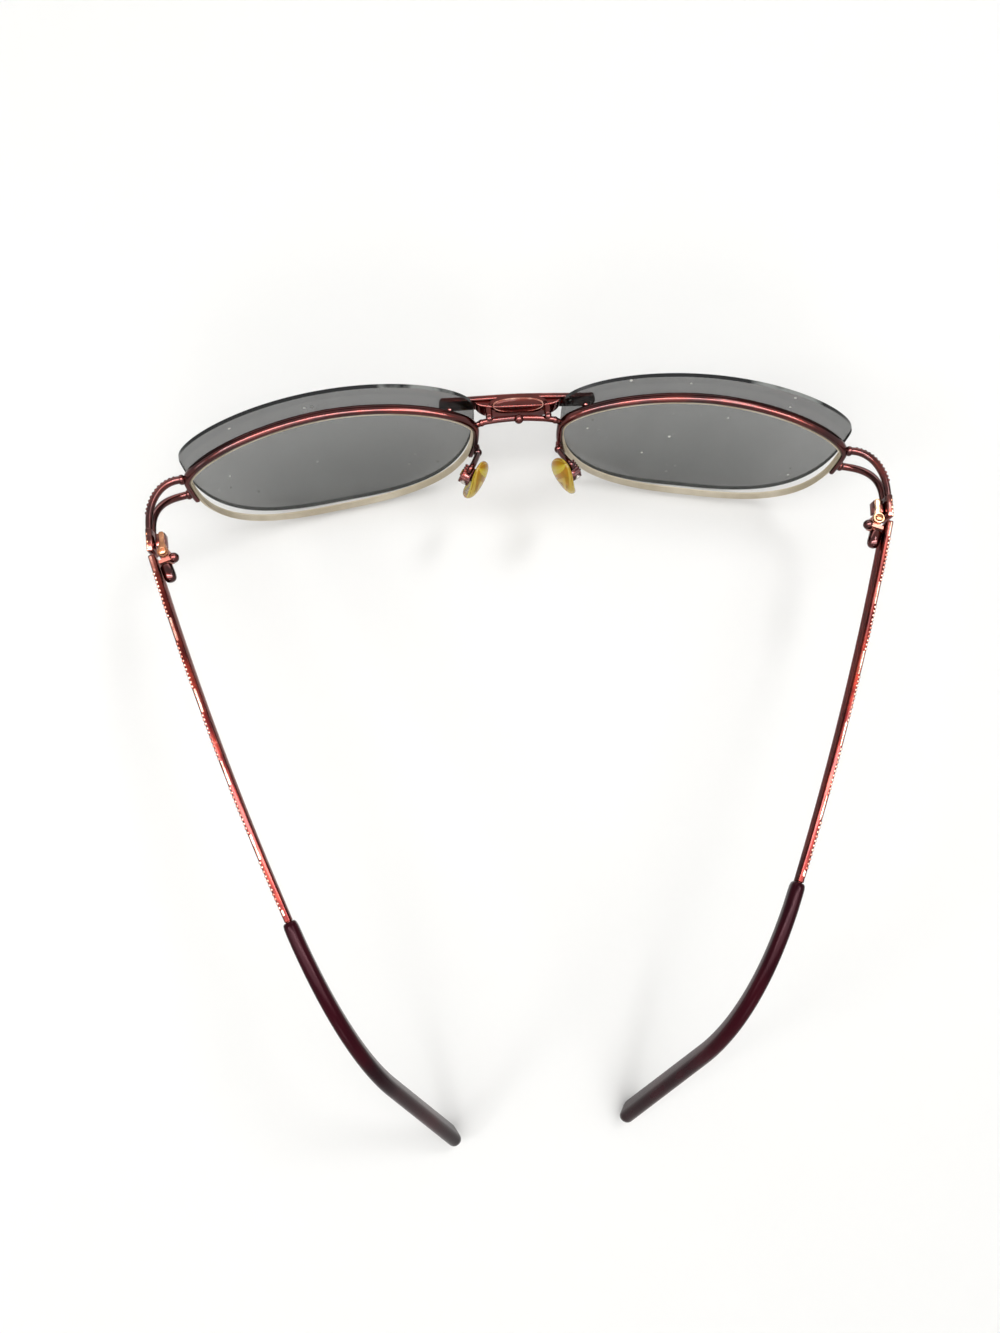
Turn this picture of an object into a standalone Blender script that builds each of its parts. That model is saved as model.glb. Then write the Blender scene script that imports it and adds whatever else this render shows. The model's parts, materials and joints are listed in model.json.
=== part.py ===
"""Semi-rimless metal glasses with a clip-on pair of tinted lenses.

Everything is modelled in the worn frame: +X is the wearer's left, +Y is back
towards the ears, +Z is up, and the origin lies between the lenses on their
widest line. The last step pitches the whole object so that it rests on its
lens bottoms and temple tips, with the middle of its base at the world origin.
"""

import math

import bmesh
import bpy
from mathutils import Matrix, Vector

MM = 0.001
DEGREE = math.pi / 180.0
SIDES = {"left": 1, "right": -1}

# Lens outline: two superellipse halves that share their widest line
lens_width = 51.0 * MM
lens_rise = 8.1 * MM
lens_drop = 19.0 * MM
lens_powers = (1.8, 2.4)
lens_lean = 1.4 * MM
lens_thickness = 1.5 * MM
lens_curve_radius = 120.0 * MM
mean_edge_share = 0.37
lens_spacing = 16.4 * MM
lens_height = 2.4 * MM
lens_wrap = 8.8 * DEGREE
lens_tilt = 9.5 * DEGREE

# Clearances
seat_gap = 0.2 * MM
slip_gap = 0.15 * MM
joint_gap = 0.1 * MM
overrun = 1.0 * MM

# Eyewire, its groove and what lies in it
rim_thickness = 1.0 * MM
rim_depth = 1.8 * MM
groove_width = 0.9 * MM
groove_depth = 0.55 * MM
cord_radius = 0.2 * MM
cord_tuck = 1.5 * MM
rim_start = -12.0 * DEGREE
rim_end = 198.0 * DEGREE

# Frame bridge
bridge_radius = 0.55 * MM
bridge_rise = 0.7 * MM
bridge_bow = 0.2 * MM
bridge_stub = 0.9 * MM
bridge_stations = 17
bridge_angle = 174.0 * DEGREE
stud_radius = 0.5 * MM

# Nose pads and their arms
pad_arm_radius = 0.45 * MM
pad_arm_angle = 188.0 * DEGREE
pad_arm_stub = 1.0 * MM
pad_outset = 1.4 * MM
pad_setback = 7.5 * MM
pad_lower = 2.9 * MM
pad_splay = 30.0 * DEGREE
pad_flare = 12.0 * DEGREE
pad_width = 6.6 * MM
pad_height = 11.8 * MM
pad_thickness = 1.9 * MM
pad_bend_radius = 16.0 * MM
pad_rock_gap = 0.5 * MM
pad_box_depth = 2.0 * MM
pad_box_width = 2.6 * MM
pad_box_height = 3.2 * MM
pad_tab_width = 1.0 * MM
pad_tab_height = 1.6 * MM
pad_tab_reach = 1.3 * MM
pad_box_room = 0.35 * MM
pad_screw_radius = 0.3 * MM
pad_screw_head = 0.55 * MM
pad_screw_head_height = 0.35 * MM

# Hinge axis, measured from the lens's temporal point
hinge_outset = 3.9 * MM
hinge_setback = 13.9 * MM
hinge_lift = 1.8 * MM
open_inward = 5.0 * DEGREE
rest_fold = {"left": 14.2 * DEGREE, "right": 16.4 * DEGREE}
knuckle_radius = 1.0 * MM
hinge_height = 2.6 * MM
tongue_height = 1.0 * MM
tongue_length = 3.6 * MM
tongue_half_width = 0.5 * MM
screw_radius = 0.4 * MM
screw_head_radius = 0.8 * MM
screw_head_height = 0.35 * MM
screw_slot = 0.25 * MM

# Endpiece: a butt block that forks into two arms
bar_thickness = 1.1 * MM
bar_height = 3.8 * MM
butt_gap = 0.2 * MM
butt_length = 4.4 * MM
butt_bevel = 0.25 * MM
arm_radius = 0.7 * MM
arm_angles = {"upper": 5.0 * DEGREE, "lower": -7.5 * DEGREE}
arm_rise = 1.05 * MM
arm_leave = 3.0 * MM
arm_arrive = 6.0 * MM

# Sprung carriage between the hinge and the temple
neck_half_width = 0.7 * MM
carriage_start = 1.25 * MM
carriage_end = 1.85 * MM
carriage_height = 2.2 * MM
bump_radius = 0.27 * MM
carriage_rod_radius = 0.3 * MM
housing_wall = 0.5 * MM
housing_height = 2.4 * MM
housing_inset = 1.0 * MM
housing_bore_radius = 0.75 * MM
housing_bevel = 0.2 * MM
nut_radius = 0.62 * MM
nut_length = 0.5 * MM
spring_radius = 0.5 * MM
spring_wire_radius = 0.12 * MM
spring_turns = 3
flex_travel = 0.5 * MM

# Temple, measured from the hinge axis along the bar
temple_bend = 87.8 * MM
temple_drop_length = 51.2 * MM
temple_drop = 58.0 * DEGREE
temple_tuck = 14.9 * DEGREE
temple_bow = 1.5 * MM
bend_reach = 18.0 * MM
sleeve_start = 65.8 * MM
bar_end_thickness = 1.1 * MM
bar_end_height = 2.2 * MM
core_thickness = 0.9 * MM
core_height = 1.4 * MM
core_margin = 6.0 * MM
sleeve_thickness = 2.3 * MM
sleeve_height = 3.0 * MM
tip_thickness = 2.6 * MM
tip_height = 4.4 * MM
tip_round = 2.6 * MM

# Clip-on lenses and the metalwork that carries them
clip_lens_overhang = 0.75 * MM
clip_lens_rise = 8.2 * MM
clip_lens_drop = 23.6 * MM
clip_lens_powers = (1.99, 2.59)
clip_lens_raise = 3.6 * MM
clip_lens_thickness = 1.0 * MM
clip_stand_off = 2.6 * MM
clip_bar_thickness = 1.0 * MM
clip_bar_height = 2.6 * MM
clip_bar_rise = 0.6 * MM
clip_bar_soft_share = 0.6
clip_lug_inset = 5.6 * MM
clip_lug_raise = 2.8 * MM
clip_lug_length = 3.2 * MM
clip_lug_height = 2.2 * MM
rivet_radius = 0.45 * MM
rivet_head_radius = 0.85 * MM
rivet_head_height = 0.4 * MM
plaque_width = 8.0 * MM
plaque_height = 3.0 * MM
plaque_raise = 0.4 * MM
plaque_thickness = 0.8 * MM
plaque_border = 0.5 * MM
magnet_thickness = 0.4 * MM
hook_radius = 0.42 * MM
hook_offset = 5.3 * MM
hook_tail = 0.8 * MM
hook_first_angle = 125.0 * DEGREE
lift_lean = 22.0 * DEGREE

# Counts of stations, and shares for rounding and rings
ring_shares = (0.0, 0.4, 0.75, 1.0)
bar_corner_share = 0.3
tip_corner_share = 0.45
lip_share = 0.85
rim_round_shares = ((0.6, 1.0), (0.9, 0.7), (1.0, 0.2), (1.0, -0.2), (0.9, -0.7), (0.6, -1.0))
lens_segments = 48
rod_segments = 16
knuckle_segments = 20
rivet_segments = 12
nut_sides = 6
plaque_segments = 32
stud_segments = (14, 8)
pad_segments = (20, 12)
rim_stations = 40
wire_stations = 26
sweep_stations = 10
hook_stations = 8
set_down_steps = 50
tip_stations = 20
bend_stations = 24
bar_stations = 40
turn_steps = 10
outline_samples = 900
walk_step = 0.25 * DEGREE
smooth_limit = 40.0 * DEGREE
power_share = 0.65
merge_share = 0.001

colours = {
    "wine_metal": ((0.20, 0.012, 0.018, 1.0), 0.22, 1.0),
    "rose_metal": ((0.72, 0.33, 0.22, 1.0), 0.25, 1.0),
    "steel": ((0.55, 0.53, 0.50, 1.0), 0.3, 1.0),
    "clear_lens": ((0.80, 0.80, 0.72, 0.35), 0.05, 0.0),
    "tinted_lens": ((0.12, 0.13, 0.14, 0.55), 0.05, 0.0),
    "nylon": ((0.80, 0.76, 0.64, 1.0), 0.35, 0.0),
    "pad_silicone": ((0.72, 0.50, 0.05, 1.0), 0.3, 0.0),
    "tip_acetate": ((0.08, 0.012, 0.025, 1.0), 0.3, 0.0),
}


def clear_scene():
    for item in list(bpy.data.objects):
        bpy.data.objects.remove(item, do_unlink=True)


def new_collection(name):
    collection = bpy.data.collections.new(name)
    bpy.context.scene.collection.children.link(collection)
    return collection


def finish_material(name):
    material = bpy.data.materials.new(name)
    material.use_nodes = True
    return material


def paint(thing, name, finish):
    """Give one piece its own Principled material in a named finish."""
    colour, roughness, metallic = colours[finish]
    material = finish_material(name)
    shader = material.node_tree.nodes["Principled BSDF"]
    shader.inputs["Base Color"].default_value = colour
    shader.inputs["Alpha"].default_value = colour[3]
    shader.inputs["Roughness"].default_value = roughness
    shader.inputs["Metallic"].default_value = metallic
    thing.data.materials.clear()
    thing.data.materials.append(material)


def frame(name, parent, place=(0.0, 0.0, 0.0), turn=(0.0, 0.0, 0.0)):
    """An empty that carries pieces; joints turn or slide such frames."""
    carrier = bpy.data.objects.new(name, None)
    carrier.empty_display_size = lens_thickness
    carrier.location = place
    carrier.rotation_euler = turn
    carrier.parent = parent
    part_collection.objects.link(carrier)
    return carrier


def mirrored(mesh, side):
    """Left-hand geometry, mirrored for the right-hand side."""
    if side < 0:
        mesh.transform(Matrix.Scale(-1.0, 4, Vector((1.0, 0.0, 0.0))))
        mesh.flip_normals()
    return mesh


def piece(name, mesh, finish, parent, side=1):
    mirrored(mesh, side)
    mesh.shade_smooth()
    mesh.set_sharp_from_angle(angle=smooth_limit)
    thing = bpy.data.objects.new(name, mesh)
    thing.parent = parent
    part_collection.objects.link(thing)
    paint(thing, name, finish)
    return thing


def tool(name, mesh, parent, side=1):
    """A hidden shape that a Boolean modifier cuts with or joins on."""
    mirrored(mesh, side)
    thing = bpy.data.objects.new(name, mesh)
    thing.parent = parent
    thing.hide_render = True
    thing.display_type = "WIRE"
    tool_collection.objects.link(thing)
    return thing


def combine(target, operation, other):
    step = target.modifiers.new(other.name, "BOOLEAN")
    step.operation = operation
    step.solver = "EXACT"
    step.object = other


def bevel(target, width):
    step = target.modifiers.new("soft_edges", "BEVEL")
    step.width = width
    step.segments = 1
    step.limit_method = "ANGLE"


def to_mesh(shape, name):
    mesh = bpy.data.meshes.new(name)
    bmesh.ops.recalc_face_normals(shape, faces=shape.faces)
    shape.to_mesh(mesh)
    shape.free()
    return mesh


def block(low, high, name="block"):
    shape = bmesh.new()
    low, high = Vector(low), Vector(high)
    size = high - low
    placing = Matrix.Translation((low + high) * 0.5) @ Matrix.Diagonal((*size, 1.0))
    bmesh.ops.create_cube(shape, size=1.0, matrix=placing)
    return to_mesh(shape, name)


def rod(start, end, radius, segments=rod_segments, name="rod"):
    shape = bmesh.new()
    start, end = Vector(start), Vector(end)
    along = end - start
    turn = along.to_track_quat("Z", "Y").to_matrix().to_4x4()
    placing = Matrix.Translation((start + end) * 0.5) @ turn
    bmesh.ops.create_cone(shape, cap_ends=True, segments=segments, radius1=radius, radius2=radius,
                          depth=along.length, matrix=placing)
    return to_mesh(shape, name)


def loft(rings, name="loft"):
    """Close a body through unlike sections, each with the same point count."""
    shape = bmesh.new()
    loops = [[shape.verts.new(point) for point in ring] for ring in rings]
    count = len(loops[0])
    for near, far in zip(loops, loops[1:]):
        for index in range(count):
            after = (index + 1) % count
            shape.faces.new((near[index], near[after], far[after], far[index]))
    shape.faces.new(loops[0])
    shape.faces.new(loops[-1])
    return to_mesh(shape, name)


def wire_curve(name, points, radius, roundness=2):
    data = bpy.data.curves.new(name, "CURVE")
    data.dimensions = "3D"
    data.bevel_depth = radius
    data.bevel_resolution = roundness
    data.use_fill_caps = True
    data.twist_mode = "MINIMUM"
    spline = data.splines.new("POLY")
    spline.points.add(len(points) - 1)
    for slot, point in zip(spline.points, points):
        slot.co = (*point, 1.0)
    return bpy.data.objects.new(name, data)


def wire(name, points, radius, finish, parent, side=1, roundness=2):
    """A round wire piece along left-hand points."""
    thing = wire_curve(name, [(side * x, y, z) for x, y, z in points], radius, roundness)
    thing.parent = parent
    part_collection.objects.link(thing)
    paint(thing, name, finish)
    return thing


def wire_mesh(points, radius):
    """The same round wire as a welded mesh, for joining."""
    guide = wire_curve("guide", points, radius)
    bpy.context.scene.collection.objects.link(guide)
    bpy.context.view_layer.update()
    mesh = bpy.data.meshes.new_from_object(guide.evaluated_get(bpy.context.evaluated_depsgraph_get()))
    shape = bmesh.new()
    shape.from_mesh(mesh)
    bmesh.ops.remove_doubles(shape, verts=shape.verts, dist=radius * merge_share)
    bpy.data.objects.remove(guide, do_unlink=True)
    bpy.data.meshes.remove(mesh)
    return to_mesh(shape, "wire")


def bezier(start, leave, arrive, end, count):
    points = []
    for step in range(count):
        t = step / (count - 1)
        s = 1.0 - t
        points.append(start * s ** 3 + leave * 3.0 * s * s * t + arrive * 3.0 * s * t * t + end * t ** 3)
    return points


def signed_power(value, power):
    return math.copysign(abs(value) ** power, value)


class Outline:
    """A lens outline in its own plane: u towards the temple, v up."""

    def __init__(self, width, rise, drop, powers, lift=0.0, lean=0.0):
        self.half, self.rise, self.drop, self.powers = width / 2.0, rise, drop, powers
        self.lift, self.lean = lift, lean

    def point(self, angle, grow=0.0):
        upper = math.sin(angle) >= 0.0
        height, power = (self.rise, self.powers[0]) if upper else (self.drop, self.powers[1])
        u = self.half * signed_power(math.cos(angle), 2.0 / power)
        v = height * signed_power(math.sin(angle), 2.0 / power)
        normal = Vector((signed_power(u / self.half, power - 1.0) / self.half,
                         signed_power(v / height, power - 1.0) / height)).normalized()
        shift = 0.0 if upper else self.lean * (v / height) ** 2
        return u + shift + grow * normal.x, v + grow * normal.y + self.lift

    def even_angles(self, start, end, count):
        """Angles that part the outline into equal lengths."""
        fine = [start + (end - start) * step / outline_samples for step in range(outline_samples + 1)]
        spots = [Vector(self.point(angle)) for angle in fine]
        run = [0.0]
        for here, there in zip(spots, spots[1:]):
            run.append(run[-1] + (there - here).length)
        angles, index = [], 0
        for step in range(count):
            goal = run[-1] * step / (count - 1)
            while index < outline_samples - 1 and run[index + 1] < goal:
                index += 1
            part = (goal - run[index]) / (run[index + 1] - run[index])
            angles.append(fine[index] + (fine[index + 1] - fine[index]) * min(max(part, 0.0), 1.0))
        return angles

    def walk(self, angle, distance):
        """The angle that lies a signed distance along the outline."""
        step = math.copysign(walk_step, distance)
        gone = 0.0
        while gone < abs(distance):
            here = Vector(self.point(angle))
            angle += step
            gone += (Vector(self.point(angle)) - here).length
        return angle


lens_outline = Outline(lens_width, lens_rise, lens_drop, lens_powers, lean=lens_lean)
clip_lens_width = lens_width + 2.0 * clip_lens_overhang
clip_outline = Outline(clip_lens_width, clip_lens_rise, clip_lens_drop, clip_lens_powers, clip_lens_raise)


def sag(u, v):
    """How far back the curved lens lies, from its plane at the mean edge."""
    mean_edge = mean_edge_share * lens_width
    return (u * u + v * v - mean_edge * mean_edge) / (2.0 * lens_curve_radius)


lens_place = Vector((lens_spacing / 2.0 + lens_width / 2.0, 0.0, lens_height))
lens_matrix = (Matrix.Translation(lens_place) @ Matrix.Rotation(lens_wrap, 4, "Z")
               @ Matrix.Rotation(lens_tilt, 4, "X"))


def on_lens(angle, grow=0.0, depth=0.0, outline=lens_outline):
    """A left-hand point of the worn frame beside the lens's edge."""
    u, v = outline.point(angle, grow)
    edge_u, edge_v = outline.point(angle)
    return lens_matrix @ Vector((u, sag(edge_u, edge_v) + depth, v))


nasal_point = on_lens(math.pi)
temporal_point = on_lens(0.0)
hinge_place = temporal_point + Vector((hinge_outset, hinge_setback, hinge_lift))
hinge_matrix = Matrix.Translation(hinge_place) @ Matrix.Rotation(open_inward, 4, "Z")
pad_place = nasal_point + Vector((pad_outset, pad_setback, -pad_lower))
pad_matrix = (Matrix.Translation(pad_place) @ Matrix.Rotation(-pad_splay, 4, "Z")
              @ Matrix.Rotation(-pad_flare, 4, "Y"))
bar_inner = knuckle_radius + 2.0 * seat_gap
bar_centre = bar_inner + bar_thickness / 2.0
rim_outer = seat_gap + rim_thickness
cord_offset = slip_gap + cord_radius


def lens_mesh(outline):
    """A curved sheet: a spun set of rings, reshaped to the outline."""
    shape = bmesh.new()
    spine = [shape.verts.new((share, 0.0, 0.0)) for share in ring_shares]
    edges = [shape.edges.new(pair) for pair in zip(spine, spine[1:])]
    bmesh.ops.spin(shape, geom=spine + edges, axis=(0, 0, 1), cent=(0, 0, 0), angle=2.0 * math.pi,
                   steps=lens_segments, use_merge=True)
    bmesh.ops.remove_doubles(shape, verts=shape.verts, dist=ring_shares[1] * merge_share)
    angles = outline.even_angles(0.0, 2.0 * math.pi, lens_segments + 1)
    for vert in shape.verts:
        share = vert.co.length
        turn = math.atan2(vert.co.y, vert.co.x) % (2.0 * math.pi)
        index = round(turn / (2.0 * math.pi) * lens_segments) % lens_segments
        u, v = outline.point(angles[index])
        u, v = u * share, outline.lift + (v - outline.lift) * share
        vert.co = (u, sag(u, v), v)
    return to_mesh(shape, "lens")


def solid_lens(name, outline, thickness, finish, carrier, side):
    thing = piece(name, lens_mesh(outline), finish, carrier, side)
    step = thing.modifiers.new("thickness", "SOLIDIFY")
    step.thickness = thickness
    step.offset = 0.0
    return thing


def eyewire_mesh():
    """A channel that follows the lens's edge, its groove facing the lens."""
    half, wall = rim_depth / 2.0, groove_width / 2.0
    profile = [(0.0, -half), (0.0, -wall), (groove_depth, -wall), (groove_depth, wall), (0.0, wall),
               (0.0, half)]
    profile += [(rim_thickness * out, half * deep) for out, deep in rim_round_shares]
    rings = []
    for angle in lens_outline.even_angles(rim_start, rim_end, rim_stations):
        edge_u, edge_v = lens_outline.point(angle)
        back = sag(edge_u, edge_v)
        ring = []
        for out, depth in profile:
            u, v = lens_outline.point(angle, seat_gap + out)
            ring.append((u, back + depth, v))
        rings.append(ring)
    return loft(rings, "eyewire")


def edge_wire(name, start, end, carrier, side):
    """A thin round line that lies along the lens's edge."""
    points = []
    for angle in lens_outline.even_angles(start, end, wire_stations):
        u, v = lens_outline.point(angle, cord_offset)
        points.append((u, sag(*lens_outline.point(angle)), v))
    return wire(name, points, cord_radius, "nylon", carrier, side)


def make_lenses(hand, side, carrier):
    solid_lens(hand + "_lens", lens_outline, lens_thickness, "clear_lens", carrier, side)
    piece(hand + "_eyewire", eyewire_mesh(), "wine_metal", carrier, side)
    cord_start = lens_outline.walk(rim_end, -cord_tuck)
    cord_end = lens_outline.walk(rim_start, cord_tuck) + 2.0 * math.pi
    edge_wire(hand + "_nylon_cord", cord_start, cord_end, carrier, side)
    liner_start = lens_outline.walk(rim_start, cord_tuck + 2.0 * cord_radius)
    liner_end = lens_outline.walk(rim_end, -cord_tuck - 2.0 * cord_radius)
    edge_wire(hand + "_rim_liner", liner_start, liner_end, carrier, side)


def bridge_centre(x):
    """Centre line of the frame's bridge: a shallow arch between stubs."""
    foot = on_lens(bridge_angle, rim_outer + seat_gap + bridge_stub)
    share = (x / foot.x) ** 2
    return Vector((x, foot.y - bridge_bow * (1.0 - share), foot.z + bridge_rise * (1.0 - share)))


def make_bridge(worn):
    end = on_lens(bridge_angle, rim_outer + seat_gap)
    foot = on_lens(bridge_angle, rim_outer + seat_gap + bridge_stub)
    arch = [bridge_centre(foot.x * (1.0 - 2.0 * step / (bridge_stations - 1)))
            for step in range(bridge_stations)]
    mirror_end = Vector((-end.x, end.y, end.z))
    wire("bridge", [end] + arch + [mirror_end], bridge_radius, "wine_metal", worn)
    centre = bridge_centre(0.0) + Vector((0.0, bridge_radius + seat_gap + stud_radius, 0.0))
    shape = bmesh.new()
    around, up = stud_segments
    bmesh.ops.create_uvsphere(shape, u_segments=around, v_segments=up, radius=stud_radius,
                              matrix=Matrix.Translation(centre))
    piece("bridge_stud", to_mesh(shape, "stud"), "wine_metal", worn)


def pad_mesh():
    """A soft-cornered oval pad that bends towards its box."""
    shape = bmesh.new()
    around, up = pad_segments
    bmesh.ops.create_uvsphere(shape, u_segments=around, v_segments=up, radius=1.0)
    away = pad_box_depth / 2.0 + pad_rock_gap + pad_thickness / 2.0
    for vert in shape.verts:
        x, y, z = (signed_power(value, power_share) for value in vert.co)
        y, z = y * pad_width / 2.0, z * pad_height / 2.0
        bend = (y * y + z * z / 2.0) / (2.0 * pad_bend_radius)
        vert.co = (x * pad_thickness / 2.0 - away + bend, y, z)
    return to_mesh(shape, "pad")


def make_nose_pad(hand, side, worn):
    fixed = frame(hand + "_pad_frame", worn, (side * pad_place.x, pad_place.y, pad_place.z),
                  (0.0, -side * pad_flare, -side * pad_splay))
    rocking = frame(hand + "_pad_rock", fixed)
    deep, wide, high = pad_box_depth / 2.0, pad_box_width / 2.0, pad_box_height / 2.0
    tab_wide, tab_high = pad_tab_width / 2.0, pad_tab_height / 2.0

    outside = block((-deep, -wide, -high), (deep, wide, high))
    box = piece(hand + "_pad_box", outside, "wine_metal", fixed, side)
    room = block((-deep - overrun, -tab_wide - slip_gap, -tab_high - pad_box_room),
                 (deep + overrun, tab_wide + slip_gap, tab_high + pad_box_room))
    combine(box, "DIFFERENCE", tool(hand + "_pad_box_room", room, fixed, side))
    bore = rod((0.0, -wide - overrun, 0.0), (0.0, wide + overrun, 0.0), pad_screw_radius + slip_gap)
    combine(box, "DIFFERENCE", tool(hand + "_pad_box_bore", bore, fixed, side))

    pad = piece(hand + "_nose_pad", pad_mesh(), "pad_silicone", rocking, side)
    root = -deep - pad_rock_gap - pad_thickness / 2.0
    tab = block((root, -tab_wide, -tab_high), (pad_tab_reach, tab_wide, tab_high))
    combine(pad, "UNION", tool(hand + "_pad_tab", tab, rocking, side))
    eye = rod((0.0, -tab_wide - overrun, 0.0), (0.0, tab_wide + overrun, 0.0), pad_screw_radius + slip_gap)
    combine(pad, "DIFFERENCE", tool(hand + "_pad_eye", eye, rocking, side))

    head = wide + joint_gap
    screw = piece(hand + "_pad_screw", rod((0.0, -wide, 0.0), (0.0, head, 0.0), pad_screw_radius), "steel",
                  fixed, side)
    cap = rod((0.0, head - joint_gap / 2.0, 0.0), (0.0, head + pad_screw_head_height, 0.0), pad_screw_head)
    combine(screw, "UNION", tool(hand + "_pad_screw_head", cap, fixed, side))

    middle = seat_gap + rim_thickness / 2.0
    start = on_lens(pad_arm_angle, middle, rim_depth / 2.0 + seat_gap)
    leave = on_lens(pad_arm_angle, middle, rim_depth / 2.0 + seat_gap + pad_arm_stub)
    foot = pad_matrix @ Vector((0.0, 0.0, high + seat_gap))
    arrive = pad_matrix @ Vector((0.0, 0.0, high + seat_gap + pad_arm_stub))
    sweep = bezier(leave, leave + (leave - start), arrive + (arrive - foot), arrive, sweep_stations)
    wire(hand + "_pad_arm", [start] + sweep + [foot], pad_arm_radius, "wine_metal", worn, side)


def make_endpiece(hand, side, hinge):
    """The butt block at the hinge, forked into two arms that reach the rim."""
    half = bar_height / 2.0
    butt = block((bar_inner, -butt_length, -half), (bar_inner + bar_thickness, -butt_gap / 2.0, half))
    endpiece = piece(hand + "_endpiece", butt, "wine_metal", hinge, side)
    bevel(endpiece, butt_bevel)
    to_hinge = hinge_matrix.inverted()
    for name, angle in arm_angles.items():
        height = arm_rise if name == "upper" else -arm_rise
        start = to_hinge @ on_lens(angle, rim_outer + seat_gap)
        leave = to_hinge @ on_lens(angle, rim_outer + seat_gap + arm_leave)
        arrive = Vector((bar_centre, -butt_length - arm_arrive, height))
        foot = Vector((bar_centre, -butt_length, height))
        root = Vector((bar_centre, -butt_length + arm_radius, height))
        arm = wire_mesh(bezier(start, leave, arrive, foot, sweep_stations) + [root], arm_radius)
        combine(endpiece, "UNION", tool(hand + "_" + name + "_arm", arm, hinge, side))


def make_front_hinge(hand, side, hinge):
    """Two knuckles on a tongue, and the screw that pins them."""
    half, slot = hinge_height / 2.0, tongue_height / 2.0 + slip_gap
    barrel = rod((0.0, 0.0, -half), (0.0, 0.0, half), knuckle_radius, knuckle_segments)
    knuckles = piece(hand + "_hinge_front", barrel, "rose_metal", hinge, side)
    neck = block((-tongue_half_width, -tongue_length, -half),
                 (bar_inner - seat_gap, -knuckle_radius / 2.0, half))
    combine(knuckles, "UNION", tool(hand + "_hinge_neck", neck, hinge, side))
    reach = 2.0 * knuckle_radius
    opening = block((-reach, -knuckle_radius - seat_gap, -slot), (reach, reach, slot))
    combine(knuckles, "DIFFERENCE", tool(hand + "_hinge_slot", opening, hinge, side))
    bore = rod((0.0, 0.0, -half - overrun), (0.0, 0.0, half + overrun), screw_radius + slip_gap)
    combine(knuckles, "DIFFERENCE", tool(hand + "_hinge_bore", bore, hinge, side))

    seat = half + joint_gap
    shank = rod((0.0, 0.0, -half), (0.0, 0.0, seat), screw_radius)
    screw = piece(hand + "_hinge_screw", shank, "rose_metal", hinge, side)
    head = rod((0.0, 0.0, seat - joint_gap / 2.0), (0.0, 0.0, seat + screw_head_height), screw_head_radius)
    combine(screw, "UNION", tool(hand + "_screw_head", head, hinge, side))
    edge = screw_slot / 2.0
    groove = block((-screw_head_radius - overrun, -edge, seat + screw_head_height / 2.0),
                   (screw_head_radius + overrun, edge, seat + screw_head_height + overrun))
    combine(screw, "DIFFERENCE", tool(hand + "_screw_slot", groove, hinge, side))


def make_carriage(hand, side, fold):
    """Middle knuckle, cross block and pull rod, with the rod's nut."""
    thin, tall = tongue_height / 2.0, carriage_height / 2.0
    barrel = rod((0.0, 0.0, -thin), (0.0, 0.0, thin), knuckle_radius, knuckle_segments)
    carriage = piece(hand + "_hinge_carriage", barrel, "wine_metal", fold, side)
    neck = block((-neck_half_width, 0.0, -thin), (neck_half_width, carriage_end - seat_gap, thin))
    cross = block((-housing_inset, carriage_start, -tall), (bar_inner - seat_gap, carriage_end, tall))
    centre = (carriage_start + carriage_end) / 2.0
    bump = rod((-housing_inset, centre, -tall + joint_gap), (-housing_inset, centre, tall - joint_gap),
               bump_radius)
    pull = rod((0.0, centre, 0.0), (0.0, nut_far, 0.0), carriage_rod_radius)
    for label, shape in (("neck", neck), ("cross", cross), ("bump", bump), ("pull_rod", pull)):
        combine(carriage, "UNION", tool(hand + "_carriage_" + label, shape, fold, side))
    bore = rod((0.0, 0.0, -tall), (0.0, 0.0, tall), screw_radius + slip_gap)
    combine(carriage, "DIFFERENCE", tool(hand + "_carriage_bore", bore, fold, side))

    hexagon = rod((0.0, nut_near, 0.0), (0.0, nut_far, 0.0), nut_radius, nut_sides)
    nut = piece(hand + "_carriage_nut", hexagon, "steel", fold, side)
    thread = rod((0.0, nut_near - overrun, 0.0), (0.0, nut_far + overrun, 0.0),
                 carriage_rod_radius + joint_gap)
    combine(nut, "DIFFERENCE", tool(hand + "_nut_thread", thread, fold, side))

    length = spring_length - 2.0 * spring_wire_radius
    steps = spring_turns * turn_steps
    coil = []
    for step in range(steps + 1):
        turn = 2.0 * math.pi * spring_turns * step / steps
        along = spring_near + spring_wire_radius + length * step / steps
        coil.append((spring_radius * math.cos(turn), along, spring_radius * math.sin(turn)))
    wire(hand + "_hinge_spring", coil, spring_wire_radius, "steel", fold, side, roundness=1)


housing_near = carriage_end + seat_gap
spring_near = housing_near + housing_wall + joint_gap
spring_length = 2.0 * spring_wire_radius * (spring_turns + 1) + flex_travel
nut_near = spring_near + spring_length + joint_gap
nut_far = nut_near + nut_length
housing_far = nut_far + seat_gap + housing_wall


def make_housing(hand, side, flex):
    """The box on the temple's inner face that holds the hinge spring."""
    half = housing_height / 2.0
    box = block((-housing_inset, housing_near, -half), (bar_inner - seat_gap, housing_far, half))
    housing = piece(hand + "_spring_housing", box, "wine_metal", flex, side)
    bevel(housing, housing_bevel)
    bore = rod((0.0, housing_near + housing_wall, 0.0), (0.0, housing_far - housing_wall, 0.0),
               housing_bore_radius)
    combine(housing, "DIFFERENCE", tool(hand + "_housing_bore", bore, flex, side))
    mouth = rod((0.0, housing_near - overrun, 0.0), (0.0, housing_near + overrun, 0.0),
                carriage_rod_radius + slip_gap)
    combine(housing, "DIFFERENCE", tool(hand + "_housing_mouth", mouth, flex, side))


tip_direction = Vector((-math.sin(temple_tuck) * math.cos(temple_drop),
                        math.cos(temple_tuck) * math.cos(temple_drop), -math.sin(temple_drop)))


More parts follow.
